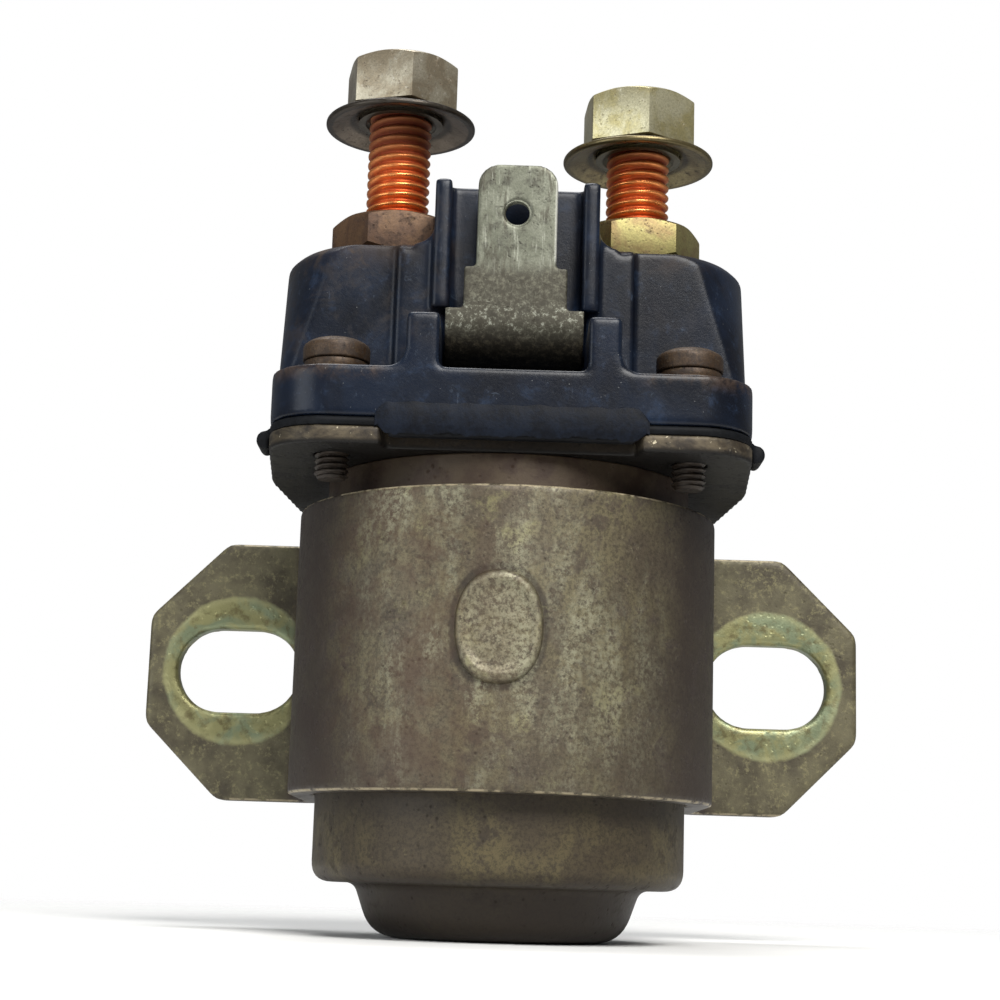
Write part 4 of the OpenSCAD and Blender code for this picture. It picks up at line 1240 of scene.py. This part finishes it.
@dataclass
class Cover:
    """The cap, the gasket with its squeezed-out flap, and the cover screws."""

    flap_left: float = -15.3
    flap_right: float = 15.4
    flap_top: float = 1.7
    flap_drop: float = 1.9
    flap_proud: float = 0.34
    steps: int = 150
    head: float = 3.9
    head_up: float = 2.7
    shank: Thread = field(default_factory=lambda: Thread(1.98, 1.66, 0.7))

    def screw(self, centre: Vector, turn: float) -> bpy.types.Object:
        """Makes one cover screw: pan head with a worn cross slot, and a threaded shank.

        Args:
            centre: a point on its axis.
            turn: how far its slot is turned, in radians.

        Returns:
            The screw.
        """
        span = Span.of("cover_screws")
        top, seat, tip = span.high.z, span.high.z - self.head_up, span.low.z

        def profile(around: float) -> list[Point]:
            """The screw's outline in one direction.

            Args:
                around: the direction, in radians.

            Returns:
                The outline.
            """
            thread = [(min(r, self.shank.radius - 0.5 + (z - tip)), z)
                      for r, z in self.shank.column(around, tip + 0.02, seat - 1.0, 7)]
            head = Bench.rounded([
                (self.shank.radius, seat, 0.15), (self.head, seat, 0.25), (self.head, top - 0.75, 0.5),
                (self.head - 1.3, top, 0.6), (0.0, top, 0.0)])
            return [(0.0, tip), *thread, *head]

        piece = Bench.turned("one_screw", profile, centre, 40, 45)
        Bench.cut(piece, ((-5.0, 5.0), (-0.42, 0.42), (top - 0.75, top + 1)), centre, turn)
        Bench.cut(piece, ((-0.5, 0.5), (-2.2, 2.2), (top - 1.3, top + 1)), centre, turn)
        return piece

    def screws(self) -> bpy.types.Object:
        """Makes the four cover screws as one piece.

        Returns:
            The screws.
        """
        span = Span.of("cover_screws")
        places = [(x, y) for x in (span.low.x + self.head, span.high.x - self.head)
                  for y in (span.low.y + self.head, span.high.y - self.head)]
        made = [self.screw(Vector((x, y, 0)), 0.4 + 1.3 * k) for k, (x, y) in enumerate(places)]
        return Bench.joined("pan_screws", made)

    def flap(self) -> bpy.types.Object:
        """Makes the strip of gasket that has been squeezed out over the cap's front.

        Returns:
            The strip.
        """
        cap = Span.of("cap")
        gasket = Span.of("gasket")
        seam = cap.low.z
        front = cap.low.y
        axis_x = gasket.centre.x
        work = bmesh.new()
        sections = []
        for k in range(self.steps + 1):
            share = k / self.steps
            x = axis_x + self.flap_left + (self.flap_right - self.flap_left) * share
            ends = min(1.0, 24 * share, 24 * (1 - share)) ** 0.7
            ragged = noise.noise(Vector((x * 0.35, 2.0, 0.0))) * 0.9 + noise.noise(Vector((x * 1.5, 5.0, 0.0))) * 0.35
            lifted = noise.noise(Vector((x * 0.3, 9.0, 0.0))) * 0.3
            top = seam + self.flap_top + 0.22 * noise.noise(Vector((x * 0.5, 0.0, 4.0)))
            low = seam - self.flap_drop - 0.62 * ragged
            middle = (top + low) / 2 - 0.5 * (1 - ends)
            top = middle + (top - middle) * (0.25 + 0.75 * ends)
            low = middle + (low - middle) * (0.25 + 0.75 * ends)
            proud = (self.flap_proud + lifted * 0.6) * (0.35 + 0.65 * ends)
            outline = [
                (0.25, top - 0.1), (-0.12, top), (-0.5 * proud, top - 0.15), (-proud, middle + 0.7),
                (-proud * 1.05, middle), (-proud, middle - 0.7), (-0.72 * proud, low + 0.18),
                (-0.3 * proud, low), (0.15, low + 0.15), (0.25, middle),
            ]
            sections.append([work.verts.new((x, front + y, z)) for y, z in outline])
        count = len(sections[0])
        for here, beside in zip(sections, sections[1:]):
            for j in range(count):
                after = (j + 1) % count
                work.faces.new((here[j], beside[j], beside[after], here[after]))
        work.faces.new(sections[0])
        work.faces.new(list(reversed(sections[-1])))
        return Bench.to_object("gasket_flap", work, 50)

    def build(self) -> None:
        """Makes and dresses the cover's pieces."""
        cap = Bench.melted("cap", "moulded_cap", 0.33, 9, 0.6)
        Dresser.place(cap, Paint.CAP, "housing", "cap_plastic", ["cap"])
        gasket = Bench.melted("gasket", "gasket_sheet", 0.3, 4, 0.4)
        Dresser.place(gasket, Paint.RUBBER, "housing", "black_rubber", ["gasket"])
        Dresser.place(self.flap(), Paint.FLAP, "housing", "black_rubber")
        Dresser.place(self.screws(), Paint.SCREW, "housing", "screw_steel", ["cover_screws"])
        split = Bench.softened("spring_washers", "split_washers", 0.14, 2, 30)
        Dresser.place(split, Paint.SCREW, "housing", "spring_steel", ["spring_washers"])
        plain = Bench.softened("screw_washers", "plain_rings", 0.16, 2, 30)
        Dresser.place(plain, Paint.SCREW, "housing", "screw_steel", ["screw_washers"])


@dataclass
class HexNut:
    """A hexagon nut with a threaded bore, chamfered ends and, on a terminal nut, a swaged collar below."""

    flats: float
    low: float
    high: float
    turn: float
    thread: Thread = field(default_factory=lambda: Thread(4.03, 3.48))
    collar: float = 0.0
    collar_low: float = 0.0
    blunt: float = 0.07
    crown: float = 0.03
    segments: int = 96

    def _wall(self, turn: float) -> float:
        """The distance from the axis to the hexagon in a direction, with its corners blunted.

        Args:
            turn: the direction, in radians.

        Returns:
            The distance.
        """
        aside = (turn - self.turn + math.pi / 6) % (math.pi / 3) - math.pi / 6
        full = self.flats / math.sqrt(3)
        reach = self.flats / 2 / math.cos(math.pi / 6 - abs(aside))
        return min(reach, full - self.blunt + self.crown * math.cos(aside * 12))

    def _profile(self, turn: float) -> list[Point]:
        """The nut's closed outline in one direction: up the outside, then down the thread.

        Args:
            turn: the direction, in radians.

        Returns:
            The outline.
        """
        face = self.flats / 2 - 0.12
        wall = self._wall(turn)
        slope = 0.6
        rise = max((wall - face) * slope, 0.02)
        foot_rise = 0.05 if self.collar else rise
        shoulder = self.flats / 2 - 0.1
        outside = [
            (face, self.low, 0.03), (wall, self.low + foot_rise, 0.03), (wall, self.high - rise, 0.22),
            (face - 0.05, self.high, 0.2),
        ]
        mouth = self.thread.radius + 0.55
        if self.collar:
            bottom = self.collar_low
            foot = [(self.thread.radius + 0.45, bottom, 0.1), (self.collar + 0.2, bottom, 0.12),
                    (self.collar, bottom + 0.55, 0.1), (self.collar, self.low, 0.1),
                    (shoulder - 0.3, self.low, 0.05)]
        else:
            bottom = self.low
            foot = [(mouth, self.low, 0.12)]
        corners = Bench.rounded([*foot, *outside, (mouth, self.high, 0.12)], 2)
        inside = self.thread.column(turn, bottom + 0.55, self.high - 0.6)
        return [*corners, *reversed(inside)]

    def make(self, name: str, centre: Vector) -> bpy.types.Object:
        """Makes the nut about a vertical line through centre."""
        return Bench.turned(name, self._profile, centre, self.segments, 32, self.turn)


@dataclass
class Terminal:
    """One stud with its lower nut, plain washer, terminal nut and captive cone washer."""

    side: str
    lower_turn: float
    upper_turn: float
    lower_finish: Paint
    upper_finish: Paint
    cone_finish: Paint
    thread: Thread = field(default_factory=Thread)
    lower_flats: float = 14.0
    upper_flats: float = 13.0
    upper_height: float = 6.5
    collar: float = 5.22

    def stud(self) -> bpy.types.Object:
        """Makes the stud: contact head with two flats, plain neck, thread and chamfered point.

        Returns:
            The stud.
        """
        span = Span.of(f"stud_{self.side}")
        nut = Span.of(f"lower_nut_{self.side}")
        head_top = Span.of("stud_seals").low.z - 0.06
        head, flat, neck = span.size.x / 2, span.size.y / 2, self.thread.radius - 0.05
        start = nut.high.z - 1.6
        point = 1.0

        def profile(turn: float) -> list[Point]:
            """The stud's outline in one direction, from the axis out, up and back to the axis.

            Args:
                turn: the direction, in radians.

            Returns:
                The outline.
            """
            rim = min(head, flat / max(abs(math.sin(turn)), 1e-6))
            screw = self.thread.column(turn, start, span.high.z - 0.05)
            screw = [(min(r, self.thread.radius - max(0.0, z - span.high.z + point)), z) for r, z in screw]
            return [
                (0.0, span.low.z), (rim - 0.3, span.low.z), (rim, span.low.z + 0.3), (rim, head_top - 0.2),
                (rim - 0.2, head_top), (neck, head_top), (neck, start - 0.4), *screw,
                (self.thread.radius - point - 0.05, span.high.z), (0.0, span.high.z),
            ]

        return Bench.turned(f"threaded_stud_{self.side}", profile, span.centre, 96, 50)

    def cone(self) -> bpy.types.Object:
        """Makes the captive washer: dished, with a rolled rim and a flat seat under the nut.

        Returns:
            The washer.
        """
        span = Span.of(f"cone_washer_{self.side}")
        rim, low, high = span.size.x / 2, span.low.z, span.high.z
        bore = self.collar + 0.13
        outline = Bench.rounded([
            (bore, high - 0.62, 0.15), (rim - 2.1, low + 0.55, 0.9), (rim - 0.5, low, 0.3), (rim, low + 0.2, 0.2),
            (rim, low + 0.75, 0.3), (rim - 0.7, low + 1.0, 0.4), (self.upper_flats / 2 + 0.5, high - 0.25, 0.7),
            (self.upper_flats / 2 - 0.1, high, 0.2), (bore, high, 0.1),
        ], 5)
        return Bench.turned(f"captive_washer_{self.side}", lambda turn: outline, span.centre, 128, 50)

    def build(self) -> None:
        """Makes and dresses the terminal's pieces."""
        centre = Span.of(f"stud_{self.side}").centre
        Dresser.place(self.stud(), Paint.COPPER, "housing", "stud_copper", [f"stud_{self.side}"])
        lower = Span.of(f"lower_nut_{self.side}")
        made = HexNut(self.lower_flats, lower.low.z, lower.high.z, math.radians(self.lower_turn - 90))
        slot = "nut_rusty" if self.lower_finish is Paint.NUT_RUSTY else "nut_yellow_zinc"
        Dresser.place(made.make(f"jam_nut_{self.side}", centre), self.lower_finish, "housing", slot,
                      [f"lower_nut_{self.side}"])
        upper = Span.of(f"terminal_nut_{self.side}")
        made = HexNut(self.upper_flats, upper.high.z - self.upper_height, upper.high.z,
                      math.radians(self.upper_turn - 90), collar=self.collar, collar_low=upper.low.z)
        slot = "nut_tan_zinc" if self.upper_finish is Paint.NUT_TAN else "nut_yellow_zinc"
        Dresser.place(made.make(f"cable_nut_{self.side}", centre), self.upper_finish, f"{self.side}_nut", slot,
                      [f"terminal_nut_{self.side}"])
        Dresser.place(self.cone(), self.cone_finish, f"{self.side}_washer", "washer_steel",
                      [f"cone_washer_{self.side}"])
        flat = Bench.softened(f"flat_washer_{self.side}", f"plain_washer_{self.side}", 0.2, 2, 40)
        Dresser.place(flat, Paint.WASHER_PLAIN, "housing", "washer_steel", [f"flat_washer_{self.side}"])


@dataclass
class CoilBlade:
    """The push-on blade with its tapped hole."""

    skin: float = 0.22
    hole: float = 1.6

    def sleeve(self) -> bpy.types.Object:
        """Makes the thread inside the tab's hole, as a ring that lies along Y.

        Returns:
            The ring.
        """
        span = Span.of("blade_terminal")
        thread = Thread(self.hole + 0.02, self.hole - 0.16, 0.35)
        thick = 1.2
        hole_z = span.high.z - 6.0
        piece = Bench.turned(
            "tapped_hole",
            lambda turn: [(self.hole + 0.12, 0.12), (self.hole + 0.12, thick - 0.12),
                          *reversed(thread.column(turn, 0.12, thick - 0.12))],
            Vector((0, 0, 0)), 64, 60)
        spin = Matrix.Rotation(math.radians(90), 4, "X")
        shift = Matrix.Translation(Vector((span.centre.x, span.low.y + thick, hole_z)) * MM)
        piece.data.transform(shift @ spin)
        return piece

    def build(self) -> None:
        """Makes and dresses the blade."""
        blade = Bench.melted("blade_terminal", "blade", self.skin, 3, 0.6)
        Dresser.place(blade, Paint.BLADE, "housing", "blade_tin", ["blade_terminal"])
        Dresser.place(self.sleeve(), Paint.BLADE, "housing", "blade_tin")


@dataclass
class Works:
    """Everything inside the can and the cap, which keeps its CAD shape."""

    finishes: dict[str, Paint] = field(default_factory=lambda: {
        "lower_yoke_washer": Paint.IRON, "fixed_core": Paint.IRON, "plunger": Paint.IRON, "push_rod": Paint.IRON,
        "bobbin": Paint.BOBBIN, "coil_winding": Paint.WINDING, "coil_tape": Paint.TAPE, "fibre_spacer": Paint.FIBRE,
        "guide_tube": Paint.BRASS, "retaining_clip": Paint.SPRING,
        "contact_bridge": Paint.BUSBAR, "bridge_contacts": Paint.SILVER,
        "bridge_insulator_lower": Paint.BAKED, "bridge_insulator_upper": Paint.BAKED, "bump_pad": Paint.RUBBER,
        "stud_seals": Paint.RUBBER, "live_lead": Paint.SLEEVE, "earth_lead": Paint.SLEEVE,
        "lead_grommet": Paint.RUBBER,
    })

    springs: dict[str, str] = field(default_factory=lambda: {
        "return_spring": "plunger_slide", "contact_spring": "bridge_float",
    })

    def spring(self, node: str, joint: str) -> None:
        """Makes a spring that rides on the moving iron, as a copy of its CAD node.

        Args:
            node: the spring's CAD node.
            joint: the joint that presses it.
        """
        span = Span.of(node)
        ends = next(entry["range_m"] for entry in frame["record"]["behaviour"]["joints"] if entry["name"] == joint)
        travel = max(abs(end) for end in ends) / MM
        piece = bpy.data.objects.new(f"coiled_{node}", frame["nodes"][node].data.copy())
        bpy.context.scene.collection.objects.link(piece)
        Bench.smooth(piece, 50)
        Dresser.place(piece, Paint.SPRING, "armature", "spring_steel", [node])
        foot = Vector((span.centre.x, span.centre.y, span.low.z)) * MM
        1 - travel / span.size.z
        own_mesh(piece)

    def build(self) -> None:
        """Dresses each inner node and makes the two springs."""
        for node, finish in self.finishes.items():
            Dresser.cover(node, finish)
        for node, joint in self.springs.items():
            self.spring(node, joint)
        log.info("%d inner nodes dressed", len(self.finishes))


@dataclass(frozen=True)
class Lamp:
    """A square soft light: its place and aim in metres, its power in watts and its side in metres."""

    name: str
    place: Colour
    power: float
    tint: Colour
    size: float = 0.3
    aim: Colour = (0.0, -0.025, 0.02)


@dataclass
class Studio:
    """The pale floor, the soft lights and the camera."""

    lens: float = 72.0
    sensor: float = 36.0
    back_off: float = 242.5
    aside: float = -1.05
    height: float = -26.4
    pitch: float = 10.8
    lean: float = 1.775
    floor_size: float = 1.2
    floor_y: float = 25.0
    floor_core: float = 70.0
    floor_fade: float = 260.0
    floor_gap: float = 0.05
    ambient: float = 0.2
    lamps: tuple[Lamp, ...] = (
        Lamp("key", (0.12, -0.44, 0.4), 4.8, (1.0, 0.985, 0.96)),
        Lamp("fill", (-0.42, -0.36, 0.12), 1.0, (0.93, 0.97, 1.0)),
        Lamp("top", (-0.05, 0.1, 0.6), 2.4, (1.0, 1.0, 1.0)),
    )

    def camera(self) -> None:
        """Places the camera low in front of the object, looking a little up."""
        axis = Span.of("can").centre
        data = bpy.data.cameras.new("camera")
        data.lens = self.lens
        data.sensor_width = self.sensor
        data.clip_start = 0.01
        eye = bpy.data.objects.new("camera", data)
        bpy.context.scene.collection.objects.link(eye)
        tilt = Matrix.Rotation(math.radians(90 + self.pitch), 4, "X")
        roll = Matrix.Rotation(math.radians(self.lean), 4, "Z")
        where = Vector((axis.x + self.aside, axis.y - self.back_off, self.height)) * MM
        eye.matrix_world = Matrix.Translation(where) @ tilt @ roll
        bpy.context.scene.camera = eye

    def light(self, lamp: Lamp) -> None:
        """Adds one square soft light that faces the object.

        Args:
            lamp: the light.
        """
        data = bpy.data.lights.new(lamp.name, "AREA")
        data.size = lamp.size
        data.energy = lamp.power
        data.color = lamp.tint
        holder = bpy.data.objects.new(lamp.name, data)
        holder.location = lamp.place
        aim = Vector(lamp.aim) - Vector(lamp.place)
        holder.rotation_euler = aim.to_track_quat("-Z", "Y").to_euler()
        bpy.context.scene.collection.objects.link(holder)

    def build(self) -> None:
        """Makes the floor, the world, the lights and the camera."""
        self.camera()
        work = bmesh.new()
        bmesh.ops.create_grid(work, x_segments=8, y_segments=8, size=self.floor_size / 2 / MM)
        bmesh.ops.translate(work, verts=work.verts, vec=(0, 0, cad_box[0][2] / MM - self.floor_gap))
        floor = Bench.to_object("floor", work)
        net = Net("pale_floor")
        tone = net.mix(net.grain(40.0, 3.0).rise(0.3, 0.7), (0.80, 0.80, 0.79), (0.82, 0.82, 0.81))
        away = (net.x * net.x + (net.y + self.floor_y) * (net.y + self.floor_y)) ** 0.5
        pale = net.finish(tone, 0.85, 0.0, alpha=away.rise(self.floor_fade, self.floor_core))
        floor.data.materials.append(pale)
        self.world()
        for lamp in self.lamps:
            self.light(lamp)
        bpy.context.scene.view_settings.view_transform = "Standard"

    def world(self) -> None:
        """Makes the surroundings: white to look at, and softer as a light."""
        world = bpy.data.worlds.new("studio")
        world.use_nodes = True
        tree = Tree(world.node_tree)
        shown = tree.add("ShaderNodeBackground", {}, {"Color": (1, 1, 1, 1), "Strength": 1.0})
        soft = tree.add("ShaderNodeBackground", {}, {"Color": (0.95, 0.97, 1, 1), "Strength": self.ambient})
        seen = tree.add("ShaderNodeLightPath", {}, {}, "Is Camera Ray")
        blend = tree.add("ShaderNodeMixShader", {}, {0: seen, 1: soft, 2: shown})
        tree.add("ShaderNodeOutputWorld", {}, {"Surface": blend})
        bpy.context.scene.world = world


def main() -> None:
    """Builds every sub-assembly in turn."""
    logging.basicConfig(level=logging.INFO, format="%(name)s: %(message)s")
    parts = [
        Studio(), Shell(), Cover(),
        Terminal("left", -22.6, 12.5, Paint.NUT_RUSTY, Paint.NUT_TAN, Paint.WASHER_DARK),
        Terminal("right", 33.4, 6.3, Paint.NUT_OLIVE, Paint.NUT_YELLOW, Paint.WASHER_BRASSY),
        CoilBlade(), Works(),
    ]
    for part in parts:
        part.build()
        log.info("%s built", type(part).__name__)


if __name__ == "__main__":
    main()
